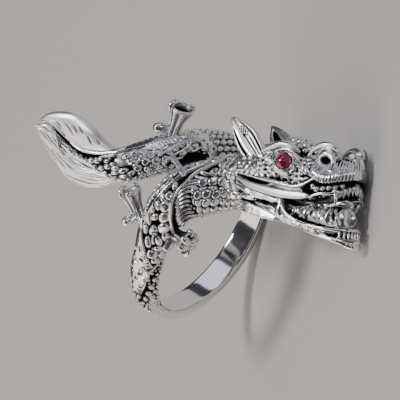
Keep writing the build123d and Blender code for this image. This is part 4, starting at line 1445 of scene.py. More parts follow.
head.rod(CHEEK_EDGE, (0.10, 0.20, 0.24, 0.24, 0.22, 0.12))
# The groove under the cheek and the gum are painted black as shade.
head.rod(LIP_GROOVE, (0.16, 0.30, 0.34, 0.34, 0.34, 0.30, 0.22), seam=0.05, cut_away=True, painted_black=True)
head.rod(GUM, (0.40, 0.48, 0.50, 0.50, 0.48, 0.46, 0.44, 0.42), seam=0.20, painted_black=True)
for line in EAR_LINES:
    head.rod(line, (0.10, 0.13, 0.06), seam=0.05)
for line in GILL_LINES:
    head.rod(line, (0.08, 0.17, 0.17, 0.10), seam=0.04)
head.ball((5.0, -2.62, -1.45), (1.30, 0.40, 0.36), seam=0.04, aim=(1, 0, -0.08))
for line in LASHES:
    head.rod(line, (0.09, 0.07), seam=0.03)
print("lines at the ear", len(EAR_LINES), "at the gill", len(GILL_LINES), "lashes", len(LASHES))

# %% Curls, fringe and pearls
CURLS = [
    # forward, left, up, radius
    (8.6, -0.85, 5.45, 0.42), (9.5, -0.85, 5.40, 0.45), (10.4, -0.80, 5.10, 0.42), (11.1, -0.75, 4.70, 0.36),
    (9.3, -1.55, 5.05, 0.34), (10.1, -1.50, 4.85, 0.36), (10.9, -1.40, 4.50, 0.33), (8.9, 0.0, 5.60, 0.42),
    (9.9, 0.0, 5.45, 0.45), (10.9, 0.0, 5.05, 0.42), (11.7, -0.30, 4.55, 0.32),
]
FRINGE = [
    # forward, left, lower end
    (13.5, -2.42, 1.95), (14.4, -2.62, 1.62), (15.4, -2.64, 1.42), (16.4, -2.46, 1.52), (17.2, -2.06, 1.80),
    (17.9, -1.45, 2.10), (18.35, -0.72, 2.34), (18.5, 0.0, 2.40),
]
FRINGE_SPACING = 0.37
MUZZLE_MIDDLE = 15.2
PEARLS = [
    # forward, left, up, radius
    (14.35, -2.72, 0.86, 0.27), (14.95, -2.72, 0.62, 0.24), (15.75, -2.58, 0.82, 0.21),
    (16.45, -2.34, 0.98, 0.22), (17.1, -2.02, 1.15, 0.21), (17.7, -1.60, 1.35, 0.20),
]

for *spot, radius in CURLS:
    head.ball(spot, radius, seam=0.05)
    head.ball(np.array(spot) + (0.12, -0.14, 0.8 * radius), 0.36 * radius, seam=0.04, cut_away=True)
fringe = np.array(FRINGE)
steps = np.concatenate([[0], np.cumsum(np.hypot(*np.diff(fringe[:, :2], axis=0).T))])
for f, l, low in smooth_rows(np.arange(0, steps[-1], FRINGE_SPACING), steps, fringe):
    out = unit(np.array([(f - MUZZLE_MIDDLE) * 0.5, l, 0.0]))
    foot, up = np.array([f, l, low]), np.array([0, 0, 1.0])
    hair = [foot + 2.5 * up - 0.62 * out, foot + 1.5 * up - 0.22 * out, foot + 0.6 * up, foot]
    head.rod(hair, (0.05, 0.13, 0.20, 0.16), seam=0.04)
for *spot, radius in PEARLS:
    head.ball(spot, radius, seam=0.03)
print("curls", len(CURLS), "pearls", len(PEARLS), "length of the fringe in mm", steps[-1].round(2))

# %% [markdown]
# Each nostril is a wide crater with a hollow in it that is painted black as shade. A slot, painted black
# too, runs from it down into the muzzle's folds, and a thick wing stands in front of it. Round each eye
# runs a groove, which leaves room for the polished collar that holds the ruby.

# %% Nostrils and eye sockets
NOSTRIL_HOLE = NOSTRIL + 1.22 * NOSTRIL_LOOK + (-0.20, 0.0, -0.34)
NOSTRIL_HOLLOW = NOSTRIL_HOLE - 0.18 * NOSTRIL_LOOK
NOSTRIL_SLOT = NOSTRIL_HOLE + [(-0.10, 0.05, -0.10), (-0.60, 0.10, -0.50), (-0.95, 0.18, -0.95)]
NOSTRIL_WING = NOSTRIL_HOLE + [
    (0.10, 0.50, 0.85), (0.78, 0.57, 0.46), (1.00, 0.60, -0.20), (0.80, 0.55, -0.95),
]
SOCKETS = [
    # radius, floor above the stone's seat, seam: room for the collar, then for the stone
    (1.45, 0.05, 0.10),
    (0.93, -0.06, 0.03),
]

head.ball(NOSTRIL_HOLE, (0.80, 0.76, 0.66), seam=0.30, aim=NOSTRIL_LOOK, cut_away=True)
# The hollow and the slot are painted black as shade.
head.ball(NOSTRIL_HOLLOW, (0.70, 0.60, 0.50), seam=0.06, aim=NOSTRIL_LOOK, cut_away=True, painted_black=True)
head.rod(NOSTRIL_SLOT, (0.42, 0.34, 0.16), seam=0.10, cut_away=True, painted_black=True)
head.rod(NOSTRIL_WING, (0.22, 0.31, 0.30, 0.14), seam=0.14)
for way in (1, -1):
    look = EYE_LOOK * (1, way, 1)
    spot = EYE_SEAT * (1, way, 1)
    cuts, (f, l, t) = head.block(spot - 3, spot + 3)
    f, l, t = f - spot[0], l - spot[1], t - spot[2]
    rise = f * look[0] + l * look[1] + t * look[2]
    aside = np.sqrt(np.maximum(f**2 + l**2 + t**2 - rise**2, 0))
    for radius, socket_floor, seam in SOCKETS:
        head.join(cuts, np.maximum(aside - radius, socket_floor - rise), seam, cut_away=True)
print("nostril at", NOSTRIL_HOLE.round(2).tolist(), "eye at", EYE_SEAT.tolist())

# %% [markdown]
# The mouth is open. A fang and a row of small teeth hang from the front of the upper lip, the tongue's
# edge curls up and deep cuts part its side into folds, and the lower teeth stand in a gap between the
# lower lip and the chin that is painted dark as shade. With these the head is complete, and the block
# becomes a mesh.

# %% Teeth and tongue
FANG = [(17.2, -2.02, 0.55), (17.55, -2.12, 0.0), (17.62, -2.15, -0.55), (17.3, -2.1, -1.05)]
TONGUE_EDGE = [
    (15.6, -1.55, -1.1), (17.0, -1.35, -0.65), (18.2, -1.05, -0.25), (18.6, -0.45, -0.5), (18.3, -0.5, -1.2),
]
TONGUE_FOLD = [(12.2, -1.5, -1.7), (13.6, -0.9, -1.1), (15.2, -0.6, -0.85), (16.8, -0.3, -0.65)]
TONGUE_CUTS = [
    [(15.5, -1.90, -0.95), (15.9, -2.10, -1.6), (16.1, -2.10, -2.4), (15.7, -2.0, -3.1)],
    [(17.0, -1.75, -0.70), (17.3, -1.95, -1.4), (17.4, -1.95, -2.2), (17.1, -1.9, -3.0)],
    [(18.3, -1.10, -1.00), (18.4, -1.20, -1.6), (18.4, -1.25, -2.3), (18.2, -1.2, -2.9)],
]
UPPER_TEETH = [(17.95, -1.45, 0.85), (18.2, -1.0, 1.10), (18.38, -0.55, 1.28), (18.45, -0.12, 1.35)]
TEETH_GROOVE = [
    (15.4, -2.45, -4.0), (17.2, -2.2, -3.98), (18.7, -1.5, -3.92), (19.6, -0.6, -3.88), (19.8, 0.0, -3.86),
]
TEETH_SPACING = 0.38

# The gap behind the lower teeth is painted black as shade.
head.rod(TEETH_GROOVE, (0.08, 0.24, 0.32, 0.34, 0.34), seam=0.05, cut_away=True, painted_black=True)
for l in np.arange(-1.6, 0.1, TEETH_SPACING):
    front = 19.55 - 0.36 * l**2
    head.rod([(front - 0.12, l, -3.45), (front, l, -4.15)], (0.12, 0.15), seam=0.03)
head.rod(FANG, (0.27, 0.22, 0.15, 0.05), seam=0.05)
for f, l, t in UPPER_TEETH:
    head.rod([(f, l, t), (f + 0.08, l, t - 0.75)], (0.21, 0.07), seam=0.04)
head.rod(TONGUE_EDGE, (0.12, 0.22, 0.24, 0.20, 0.12), seam=0.08)
head.rod(TONGUE_FOLD, (0.12, 0.20, 0.20, 0.10), seam=0.08)
for line in TONGUE_CUTS:
    head.rod(line, (0.06, 0.20, 0.22, 0.08), seam=0.10, cut_away=True)
head.piece("head", relief_silver)

# %% [markdown]
# Lips, brows and the caps of the nostrils are smooth, so they are tubes and not clay: a curve with a
# few rows and an oval section, mirrored for the other side of the face.

# %% Tubes on the face
FACE_SPACING = 0.06


def face_tube(name, rows, material, power=2.0):
    """A tube on one side of the face, and its twin on the other."""
    rows = np.array(rows, float)
    for side, way in (("right", 1), ("left", -1)):
        middles = in_head(rows[:, :3] * (1, way, 1))
        smooth_tube(
            f"{name}_{side}", middles, rows[:, 3:], steady(HEAD_AXES[2]), material, FACE_SPACING, power
        )


def middle_tube(name, rows):
    """A polished tube that runs from one side of the face round the front to the other."""
    both = np.array(rows + [(f, -l, t, tall, thick) for f, l, t, tall, thick in reversed(rows[:-1])])
    smooth_tube(
        f"{name}_middle", in_head(both[:, :3]), both[:, 3:], steady(HEAD_AXES[2]), polished_silver,
        FACE_SPACING,
    )


# %% Lips and chin
LIP_BAND = [
    # forward, left, up, half height, half thickness, as in all tables of the face
    (2.7, -2.82, 0.56, 0.05, 0.05),
    (3.6, -3.06, 0.30, 0.17, 0.16),
    (5.3, -3.24, -0.10, 0.33, 0.24),
    (7.1, -3.28, -0.33, 0.40, 0.27),
    (9.2, -3.24, -0.48, 0.44, 0.28),
    (11.4, -3.12, -0.50, 0.46, 0.28),
    (13.0, -3.00, -0.38, 0.40, 0.26),
    (14.1, -2.92, -0.33, 0.18, 0.18),
    (14.4, -2.88, -0.34, 0.05, 0.08),
]
LIP_WIRE = [
    (13.7, -2.85, -0.42, 0.10, 0.10),
    (14.6, -2.92, -0.28, 0.15, 0.15),
    (15.1, -2.85, -0.02, 0.14, 0.14),
    (15.6, -2.76, 0.16, 0.15, 0.15),
    (16.7, -2.45, 0.30, 0.15, 0.15),
    (17.5, -2.00, 0.62, 0.15, 0.15),
    (18.05, -1.20, 1.02, 0.14, 0.14),
    (18.35, -0.50, 1.38, 0.14, 0.14),
    (18.4, 0.0, 1.48, 0.14, 0.14),
]
LOWER_LIP = [
    (9.9, -2.70, -1.15, 0.10, 0.10),
    (10.2, -2.78, -1.55, 0.17, 0.17),
    (10.9, -2.80, -2.35, 0.19, 0.19),
    (12.6, -2.68, -3.12, 0.18, 0.18),
    (14.8, -2.55, -3.40, 0.17, 0.17),
    (17.0, -2.25, -3.48, 0.17, 0.17),
    (18.6, -1.55, -3.40, 0.17, 0.17),
    (19.3, -0.80, -3.20, 0.17, 0.17),
    (19.5, 0.0, -3.10, 0.17, 0.17),
]
CHIN = [
    (13.6, -2.02, -4.02, 0.06, 0.06),
    (15.0, -1.98, -4.20, 0.15, 0.14),
    (17.0, -1.80, -4.42, 0.21, 0.17),
    (18.4, -1.42, -4.62, 0.26, 0.20),
    (19.4, -0.80, -4.80, 0.30, 0.24),
    (19.8, 0.0, -4.86, 0.32, 0.26),
]

face_tube("lip_band", LIP_BAND, brushed_silver, power=3.6)
middle_tube("lip_wire", LIP_WIRE)
middle_tube("lower_lip", LOWER_LIP)
middle_tube("chin", CHIN)

# %% Brows, eyelids and nostril caps
BROW = [
    (5.9, -2.82, 3.55, 0.12, 0.20),
    (7.1, -2.75, 4.28, 0.30, 0.42),
    (8.5, -2.56, 4.80, 0.36, 0.55),
    (9.8, -2.37, 4.72, 0.34, 0.50),
    (11.0, -2.20, 4.20, 0.14, 0.24),
]
EYELID = [
    (8.2, -2.95, 1.75, 0.05, 0.05),
    (7.75, -3.02, 2.35, 0.11, 0.11),
    (7.65, -3.02, 3.05, 0.12, 0.12),
    (7.95, -3.02, 3.72, 0.12, 0.12),
    (8.8, -3.00, 4.22, 0.13, 0.13),
    (9.8, -2.88, 4.30, 0.13, 0.13),
    (10.8, -2.68, 3.95, 0.11, 0.11),
    (11.6, -2.50, 3.55, 0.05, 0.05),
]
NOSTRIL_CAP = [
    (12.5, -2.35, 4.0, 0.10, 0.12),
    (13.2, -2.45, 4.75, 0.22, 0.26),
    (14.2, -2.40, 5.35, 0.34, 0.42),
    (15.3, -2.20, 5.50, 0.38, 0.50),
    (16.3, -1.95, 5.15, 0.30, 0.42),
    (16.8, -1.85, 4.65, 0.12, 0.18),
]

face_tube("brow", BROW, satin_silver)
face_tube("eyelid", EYELID, polished_silver)
face_tube("nostril_cap", NOSTRIL_CAP, satin_silver)

# %% [markdown]
# A narrow collar holds each ruby. It is a ring that was soldered in and pushed over the stone's edge,
# and it is the most polished line of the face.

# %% Collars of the rubies
COLLAR_RADIUS = 1.03
COLLAR_LIFT = 0.10
COLLAR_HALVES = (0.22, 0.115)

for side, way in (("right", 1), ("left", -1)):
    look, spot = EYE_LOOK * (1, way, 1), EYE_SEAT * (1, way, 1)
    first = unit(np.cross(look, (0, 0, 1)))
    second = np.cross(look, first)
    circle = np.radians(np.arange(0, 376, 15))[:, None]
    ring = COLLAR_RADIUS * (first * np.cos(circle) + second * np.sin(circle))
    middles = in_head(spot + COLLAR_LIFT * look + ring)
    halves = np.full((len(middles), 2), COLLAR_HALVES)
    smooth_tube(f"collar_{side}", middles, halves, steady(look @ HEAD_AXES), polished_silver)

# %% [markdown]
# Ears and the two leaves of the tail are blades: thin oval strands with a drawing on both faces. The
# drawing is a height for each place, given by how far it lies along the blade and across it.


# %% Blades
BLADE_CELL = 0.07
# Depth of a cut at which its painted shade is full.
CUT_DARK = 0.07


def hump(value, middle, width):
    """A smooth bump of height 1."""
    return np.exp(-((value - middle) / width) ** 2)


def blade(name, middles, halves, facing, material, drawing):
    """A thin strand. Drawing takes length in mm, place across from -1 to 1, and whether it is the front.

    It gives the height in mm and the part of it that is cut deep enough to be painted dark as shade.
    """
    middles, halves = np.asarray(middles, float), np.asarray(halves, float)
    long = strand_length(middles)
    at = np.linspace(0, long, int(long / BLADE_CELL))
    count = int(5 * halves[:, 1].max() / BLADE_CELL)
    angles = np.linspace(-np.pi, np.pi, count, endpoint=False)
    points, normals = wrap_strand(middles, halves, facing, at, angles)
    face = np.clip(np.abs(np.cos(angles)) * 3, 0, 1)[None, :]
    height, cut = drawing(at[:, None], np.sin(angles)[None, :], np.cos(angles)[None, :] > 0)
    points = points + normals * (height * face)[..., None]
    # Painted shade in the deep cuts of the drawing.
    grid_piece(name, points, material, np.clip(-cut * face / CUT_DARK - 0.3, 0, 1))


# %% [markdown]
# An ear is a pointed blade that leans back. A thick rim runs round it. In its rear half lies a bright
# bowl behind a wide groove painted dark as shade, and the front half has a fold at the foot and beads
# near the tip. Its back has one hollow painted dark as shade.

# %% Ears
EAR_FOOT = np.array([5.1, -2.56, 3.2])
EAR_WAY = unit(np.array([-0.766, -0.112, 0.633]))
EAR_FACING = unit(np.array([0.0, -0.985, -0.174]))
EAR_ROWS = [
    # along, half width, half thickness
    (-0.9, 1.15, 0.50),
    (0.5, 1.50, 0.50),
    (2.0, 1.66, 0.46),
    (3.5, 1.28, 0.36),
    (4.8, 0.66, 0.24),
    (5.55, 0.16, 0.10),
]


def ear_drawing(length, across, front):
    """A thick rim, a bright bowl in the rear half, and beads and folds in the front half."""
    far = np.abs(across)
    rim = 0.06 * hump(far, 0.90, 0.07)
    groove = 0.26 * hump(across, -0.66, 0.12) + 0.18 * hump(across, 0.74, 0.06)
    groove = groove + 0.20 * hump(across, 0.14, 0.07) * between(length, 0.2, 3.9, 0.5)
    bowl = 0.16 * np.clip(1 - ((across + 0.20) / 0.30) ** 2, 0, 1)
    fold = 0.13 * hump(across, 0.45, 0.05) * between(length, 0.2, 3.2, 0.4)
    beads = 0.13 * (0.5 - 0.5 * np.cos(2 * np.pi * length / 0.42) * np.cos(2 * np.pi * across / 0.30))
    beads = beads * between(across, 0.0, 0.64, 0.06) * between(length, 3.3, 4.9, 0.3)
    top = np.clip((6.0 - length) / 1.0, 0, 1)
    cut = -(groove + fold + beads) * top
    back = -0.20 * np.exp(-((across + 0.05) / 0.34) ** 4) * top
    return np.where(front, rim * top + cut - bowl * top, rim * top + back), np.where(front, cut, back)


def ears():
    """The ear that shows, and its twin."""
    for side, way in (("right", 1), ("left", -1)):
        mirror = np.array([1, way, 1])
        middles = in_head([(EAR_FOOT + EAR_WAY * row[0]) * mirror for row in EAR_ROWS])
        halves = [(thick, wide) for _, wide, thick in EAR_ROWS]
        blade(
            f"ear_{side}", middles, halves, steady((EAR_FACING * mirror) @ HEAD_AXES), satin_silver,
            lambda length, across, front: ear_drawing(length, way * across, front),
        )


ears()

# %% [markdown]
# The tail ends in a plume of two leaves with a deep groove between them. The upper leaf is nearly
# smooth, with a few fine cuts, and the lower one has long flowing lines.

# %% Outlines of the leaves
UPPER_LEAF = [
    # along of TAIL_LENGTH, rise and half height of LEAF_HEIGHT, half thickness in mm
    (0.97, -0.30, 0.04, 0.10),
    (0.94, -0.20, 0.11, 0.26),
    (0.82, 0.04, 0.30, 0.46),
    (0.67, 0.13, 0.49, 0.58),
    (0.515, 0.15, 0.52, 0.63),
    (0.375, 0.21, 0.41, 0.60),
    (0.26, 0.26, 0.24, 0.50),
    (0.10, 0.28, 0.12, 0.36),
]
LOWER_LEAF = [
    # along of TAIL_LENGTH, rise and half height of LEAF_HEIGHT, half thickness in mm
    (0.995, -0.46, 0.04, 0.10),
    (0.97, -0.50, 0.11, 0.26),
    (0.83, -0.66, 0.30, 0.46),
    (0.647, -0.88, 0.45, 0.58),
    (0.46, -1.02, 0.55, 0.63),
    (0.283, -0.96, 0.48, 0.60),
    (0.134, -0.76, 0.32, 0.50),
    (0.015, -0.48, 0.12, 0.36),
]
LEAF_OUTWARDS = 0.455
LEAF_FACING = (-1.0, 0.0, 0.0)
print("upper leaf's rows", len(UPPER_LEAF), "lower leaf's rows", len(LOWER_LEAF))

# %% Drawing of the leaves
UPPER_CUTS = [
    # start and end in mm: along the leaf from its tip, and above its middle
    ((3.65, 0.48), (5.28, -0.26)), ((4.81, 0.68), (5.85, 0.12)), ((5.64, 0.90), (6.53, 0.42)),
    ((7.02, 0.40), (7.81, -0.26)), ((2.6, 0.10), (3.6, -0.40)), ((8.2, 0.5), (8.9, 0.1)),
]
UPPER_HEIGHTS = ([0, 2, 4, 6, 8, 11], [0.04, 0.33, 0.50, 0.50, 0.33, 0.12])


def upper_drawing(length, across, front):
    """A few thin cuts in a smooth face."""
    rise = -across * LEAF_HEIGHT * np.interp(length, *UPPER_HEIGHTS)
    cut = 0.0
    for (a, b), (c, d) in UPPER_CUTS:
        along = (length - a) * (c - a) + (rise - b) * (d - b)
        share = np.clip(along / ((c - a) ** 2 + (d - b) ** 2), 0, 1)
        far = np.hypot(length - a - share * (c - a), rise - b - share * (d - b))
        cut = np.minimum(cut, -0.12 * np.exp(-(far / (0.03 + 0.05 * np.sin(np.pi * share))) ** 2))
    wave = 0.012 * np.sin(2 * np.pi * (across * 0.9 + length * 0.25))
    return cut + wave, cut


def lower_drawing(length, across, front):
    """Long lines that run along the leaf, unevenly deep, as a graver leaves them."""
    flow = across * 3.4 + 0.30 * np.sin(length * 0.8) + 0.12 * np.sin(2.3 * length + 5 * across)
    line = 0.5 + 0.5 * np.cos(2 * np.pi * flow)
    deep = np.clip(0.75 + 0.6 * np.sin(1.3 * length + 6 * across), 0.15, 1.0)
    cut = -0.11 * line**5 * deep * np.clip((1.08 - np.abs(across)) * 4, 0, 1)
    return cut, cut


def leaf(name, rows, drawing):
    """One leaf of the plume."""
    middles = [tail_point(along, rise, LEAF_OUTWARDS) for along, rise, _, _ in rows]
    halves = [(thick, tall * LEAF_HEIGHT) for _, _, tall, thick in rows]
    blade(name, middles, halves, steady(LEAF_FACING), brushed_silver, drawing)


leaf("upper_leaf", UPPER_LEAF, upper_drawing)
leaf("lower_leaf", LOWER_LEAF, lower_drawing)

# %% [markdown]
# Smooth raised lines lie on the faces of the plume. A flat strip comes up the tail from the loin, a
# winding strand goes along the groove between the leaves, and a short fold lies over the foot of the
# upper leaf.

# %% Raised lines of the tail
TAIL_STRIP = [
    # length and degrees on the body, half width, half thickness
    (4.9, 8, 0.05, 0.05), (5.4, 6, 0.18, 0.10), (6.0, 3, 0.27, 0.14), (6.6, 0, 0.32, 0.16),
    (7.5, -10, 0.34, 0.17), (8.5, -18, 0.34, 0.17), (9.5, -24, 0.33, 0.16), (10.5, -31, 0.30, 0.14),
    (11.5, -35, 0.28, 0.10), (12.6, -36, 0.22, 0.05),
]
TAIL_STRAND = [
    # along of TAIL_LENGTH, rise of LEAF_HEIGHT, half width
    (0.975, -0.46, 0.05), (0.945, -0.40, 0.12), (0.92, -0.33, 0.16), (0.872, -0.24, 0.18),
    (0.819, -0.23, 0.22), (0.772, -0.26, 0.20), (0.723, -0.38, 0.17), (0.692, -0.51, 0.20),
    (0.673, -0.64, 0.19), (0.631, -0.74, 0.18), (0.581, -0.80, 0.16), (0.531, -0.80, 0.14),
    (0.457, -0.84, 0.13), (0.383, -0.84, 0.14), (0.307, -0.77, 0.14), (0.223, -0.70, 0.15),
    (0.144, -0.64, 0.15), (0.055, -0.50, 0.14), (-0.03, -0.37, 0.06),
]
TAIL_FOLD = [
    # along of TAIL_LENGTH, rise of LEAF_HEIGHT, half width
    (0.93, -0.18, 0.04), (0.882, -0.11, 0.08), (0.843, -0.02, 0.09), (0.782, -0.02, 0.10),
    (0.725, -0.06, 0.10), (0.679, -0.14, 0.08), (0.65, -0.20, 0.03),
]
STRIP_SUNK = 0.02
RAISED_THICK = 0.16


def tail_strip():
    """The flat strip, laid on the skin of the tail's core."""
    rows = np.array(TAIL_STRIP, float)
    middle, up, across, half = sections(body_middles, body_halves, away_from_finger, rows[:, 0])
    turn = np.radians(rows[:, 1:2])
    way = up * np.cos(turn) + across * np.sin(turn)
    points = middle + way * (half[:, :1] - STRIP_SUNK)
    smooth_tube("tail_strip", points, rows[:, [3, 2]], steady(unit(way.mean(0))), satin_silver)


tail_strip()
for name, rows, proud in (("tail_strand", TAIL_STRAND, 0.98), ("tail_fold", TAIL_FOLD, 0.92)):
    points = [tail_point(along, rise, proud) for along, rise, _ in rows]
    halves = [(RAISED_THICK, wide) for _, _, wide in rows]
    smooth_tube(name, points, halves, steady(LEAF_FACING), satin_silver)

# %% [markdown]
# Three paws show. Each is a fluted leg that opens into a hollow cup with a thick lobed rim. Two curved
# nails lie over the rim, and a round thumb is soldered to its foot. The paw under the neck is closed:
# four more toes are drawn in over its hollow. One function builds them all from a length and a width,
# as on the real ring, where they repeat too.

# %% Tables of the paws
PAW_LENGTH = 3.3
PAW_WIDTH = 2.5
PAWS = [
    # name, turn round the finger, lift of LOIN_DIAMETER, climb of BODY_CLIMB, points to, thumb to,
    # length of PAW_LENGTH, width of PAW_WIDTH, closed
    ("paw_behind", 115.0, 0.92, -0.46, (0.05, 1.0, 0.0), (-0.62, 0.0, -0.78), 1.0, 1.0, False),
    ("paw_beside", 162.0, 0.36, -0.24, (-0.16, 0.74, -0.66), (-0.60, 0.20, -0.60), 0.95, 0.95, False),
    ("paw_below", 159.0, 0.34, 0.22, (-0.08, 0.02, 0.95), (-0.30, -0.85, -0.30), 0.66, 1.0, True),
]
CUP_WALL = [
    # height of the length, radius of the width: up the outside, over the rim, down the hollow
    (-0.10, 0.26), (0.05, 0.28), (0.25, 0.29), (0.50, 0.33), (0.72, 0.42), (0.86, 0.50), (0.94, 0.55),
    (1.00, 0.55), (1.02, 0.49), (0.98, 0.42), (0.88, 0.35), (0.80, 0.20), (0.78, 0.04),
]
NAILS = [
    # turn round the cup, then height, distance out and radius of each point
    (25.0, [(0.82, 0.50, 0.08), (0.98, 0.60, 0.12), (1.13, 0.52, 0.13), (1.20, 0.32, 0.11),
            (1.16, 0.08, 0.03)]),
    (205.0, [(0.80, 0.50, 0.08), (0.94, 0.58, 0.11), (1.06, 0.52, 0.11), (1.10, 0.36, 0.04)]),
]
TOE = [(0.84, 0.46, 0.12), (0.98, 0.44, 0.17), (1.08, 0.30, 0.18), (1.08, 0.14, 0.15), (1.00, 0.04, 0.06)]
TOE_TURNS = (75.0, 130.0, 255.0, 310.0)
THUMB = [
    # distance out, height, radius
    (0.10, 0.12, 0.20), (0.40, 0.10, 0.24), (0.64, 0.05, 0.24), (0.84, -0.02, 0.15), (0.90, -0.04, 0.04),
]
print("paws", [row[0] for row in PAWS], "extra toes on a closed one", len(TOE_TURNS))

# %% Cups of the paws
FLUTES = 7
FLUTE_DEPTH = 0.20
LOBES = 5
LOBE_DEPTH = 0.16
CUP_RINGS = 90
CUP_ROUND = 120
RIM_RING = 52
HOLLOW_RING = 64


def paw_cup(name, foot, axis, across, beside, length, width):
    """The fluted leg with its lobed rim and hollow. The flutes and the hollow are painted dark as shade."""
    wall = np.array(CUP_WALL)
    fine = smooth_rows(np.linspace(0, len(wall) - 1, CUP_RINGS), np.arange(len(wall)), wall)
    rings = np.arange(CUP_RINGS)
    turns = np.linspace(0, 2 * np.pi, CUP_ROUND, endpoint=False)
    flute = 0.5 + 0.5 * np.cos(FLUTES * turns)
    lobe = np.abs(np.cos(LOBES * turns / 2))
    outside = np.clip((46 - rings) / 12, 0, 1)[:, None]
    at_rim = hump(rings, RIM_RING, 10)[:, None]
    inside = np.clip((rings - HOLLOW_RING) / 12, 0, 1)[:, None]
    shape = 1 + FLUTE_DEPTH * (flute - 0.5) * outside + LOBE_DEPTH * (lobe - 0.5) * at_rim
    radius = fine[:, 1:] * shape * width
    ring = across * np.cos(turns)[:, None] + beside * np.sin(turns)[:, None]
    points = foot + (axis * fine[:, :1] * length)[:, None] + radius[..., None] * ring
    # Painted shade in the flutes and inside the hollow.
    dark = (1 - flute[None, :]) ** 2 * outside * 0.8 + inside
    grid_piece(f"{name}_cup", points, relief_silver, dark)


# %% Claws and thumbs
def paw(name, foot, upright, thumb, length, width, closed):
    """One paw. A closed one has its toes drawn in over the hollow."""
    axis = unit(np.array(upright, float))
    across = np.array(thumb, float)
    across = unit(across - axis * (axis @ across))
    beside = np.cross(axis, across)

    def at(outwards, up, turn):
        """A point of the paw: out from its axis, up along it, and at a turn round it."""
        turn = np.radians(turn)
        way = across * np.cos(turn) + beside * np.sin(turn)
        return foot + axis * (up * length) + way * (outwards * width)

    paw_cup(name, foot, axis, across, beside, length, width)
    toes = [(turn, TOE) for turn in TOE_TURNS] if closed else []
    for number, (turn, rows) in enumerate(NAILS + toes):
        middles = [at(out, up, turn) for up, out, _ in rows]
        facing = np.cross(unit(middles[-1] - middles[0]), at(1, 0, turn + 90) - at(0, 0, turn))
        halves = [(radius * width,) * 2 for _, _, radius in rows]
        smooth_tube(f"{name}_claw_{number + 1}", middles, halves, steady(facing), satin_silver)
    middles = [at(out, up, 0) for out, up, _ in THUMB]
    halves = [(radius * width,) * 2 for _, _, radius in THUMB]
    smooth_tube(f"{name}_thumb", middles, halves, steady(axis), satin_silver)


for name, turn, lift, climb, points_to, thumb_to, long_share, wide_share, closed in PAWS:
    foot = around(turn, BORE_RADIUS + lift * LOIN_DIAMETER, SHANK_MIDDLE + climb * BODY_CLIMB)
    paw(name, foot, points_to, thumb_to, long_share * PAW_LENGTH, wide_share * PAW_WIDTH, closed)

# %% [markdown]
# Two thin bars tie the loin to the neck. On the real casting such bars are the channels that the metal
# ran through, left in place because they stiffen the ring. Each starts and ends half a millimetre under
# the skin.

# %% Struts
STRUT_DIAMETER = 0.48
STRUT_SUNK = 0.5
STRUTS = [
    # length and degrees on the loin, then on the neck, share of STRUT_DIAMETER
    (17.1, 52.0, 77.1, -19.0, 1.35),
    (16.2, 81.0, 76.1, -19.0, 0.75),
]


def skin_points(lengths, degrees):
    """Points on the plain skin of the body."""
    lengths = np.asarray(lengths, float)
    middle, up, across, half = sections(body_middles, body_halves, away_from_finger, lengths)
    turn = np.radians(np.asarray(degrees, float))[:, None]
    return middle + up * np.cos(turn) * half[:, :1] + across * np.sin(turn) * half[:, 1:]


def struts():
    """Straight bars from skin to skin."""
    for number, (start, start_turn, end, end_turn, share) in enumerate(STRUTS):
        ends = skin_points([start, end], [start_turn, end_turn])
        way = unit(ends[1] - ends[0])
        run = ends[1] - ends[0] + 2 * STRUT_SUNK * way
        points = ends[0] - STRUT_SUNK * way + run * np.linspace(0, 1, 5)[:, None]
        half = np.full((5, 2), share * STRUT_DIAMETER / 2)
        smooth_tube(f"strut_{number + 1}", points, half, away_from_finger, brushed_silver)


struts()

# %% [markdown]
# Each eye is the ruby of the CAD model, so its own mesh stays and only gets the stone's material.

# %% Rubies
for node in ("ruby_eye_right", "ruby_eye_left"):
    stone = frame["nodes"][node]
    for place in stone.material_slots:
        place.material = ruby_stone

# %% [markdown]
# The ring lies on a plain pale floor under soft lamps. Polished metal has no look of its own, only that
# of what it mirrors: large white panels give it its bright sides, and the dark room between them gives
# it its blacks.

# %% Floor and room
FLOOR_SIZE = 6.0

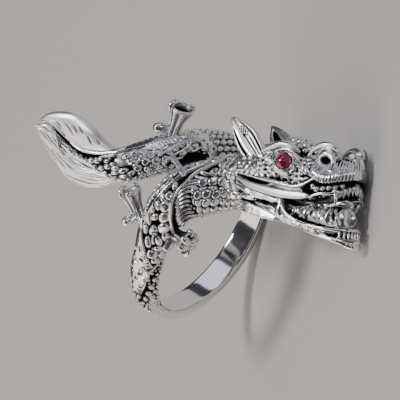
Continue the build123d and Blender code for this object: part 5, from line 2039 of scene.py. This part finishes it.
floor_mesh = bpy.data.meshes.new("floor")
half = FLOOR_SIZE / 2
corners = [(-half, -half, 0), (half, -half, 0), (half, half, 0), (-half, half, 0)]
floor_mesh.from_pydata(corners, [], [(0, 1, 2, 3)])
floor = bpy.data.objects.new("floor", floor_mesh)
bpy.context.collection.objects.link(floor)
paper, tree = new_material("pale_paper")
sheet = add_node(tree, "ShaderNodeBsdfPrincipled", {"Base Color": linear("#C9C7C4"), "Roughness": 0.85})
add_node(tree, "ShaderNodeOutputMaterial", None, {"Surface": sheet.outputs["BSDF"]})
floor_mesh.materials.append(paper)

world = bpy.data.worlds.new("dark_studio")
world.use_nodes = True
world.node_tree.nodes["Background"].inputs["Color"].default_value = linear("#3C3C40")
world.node_tree.nodes["Background"].inputs["Strength"].default_value = 1.0
bpy.context.scene.world = world
print("floor", FLOOR_SIZE, "m wide")

# %% Lamps
LAMPS = [
    # name, direction from the ring as right, up and towards the camera in the picture, distance, size in m,
    # how bright the panel looks where white paper in full light is 1, colour
    ("key", (-0.90, 0.36, 0.34), 0.60, 0.17, 19.0, "#FFFFFF"),
    ("soft_box_left", (-0.82, -0.52, -0.12), 0.45, 0.55, 1.5, "#FFF6EA"),
    ("cool_panel_top", (-0.30, 0.88, 0.30), 0.50, 0.34, 1.2, "#E4E0F2"),
    ("front_panel", (0.00, 0.40, 1.00), 0.60, 0.14, 4.0, "#FFFFFF"),
    ("low_panel", (-0.28, -0.95, 0.02), 0.60, 0.26, 2.6, "#FFF6EA"),
]
ring_middle = Vector((np.array(cad_box[0]) + np.array(cad_box[1])) / 2)
picture_axes = np.array([REST_AXES @ way for way in (unit(PICTURE_RIGHT), unit(PICTURE_UP), towards_camera)])
for name, way, distance, size, brightness, colour in LAMPS:
    lamp = bpy.data.lights.new(name, "AREA")
    lamp.shape = "SQUARE"
    lamp.size = size
    lamp.energy = brightness * np.pi * size**2
    lamp.color = linear(colour)[:3]
    holder = bpy.data.objects.new(name, lamp)
    direction = Vector(unit(np.array(way)) @ picture_axes)
    holder.location = ring_middle + direction * distance
    holder.rotation_mode = "QUATERNION"
    holder.rotation_quaternion = direction.to_track_quat("Z", "Y")
    holder.visible_camera = False
    bpy.context.collection.objects.link(holder)
    print(name, "at", [round(c, 2) for c in holder.location])

# %% [markdown]
# Every piece rides on the ring's one body, and together they stand for the CAD casting.

# %% Hand the pieces to the frame
for piece in pieces:
    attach(piece, "root")
    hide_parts("dragon_casting")
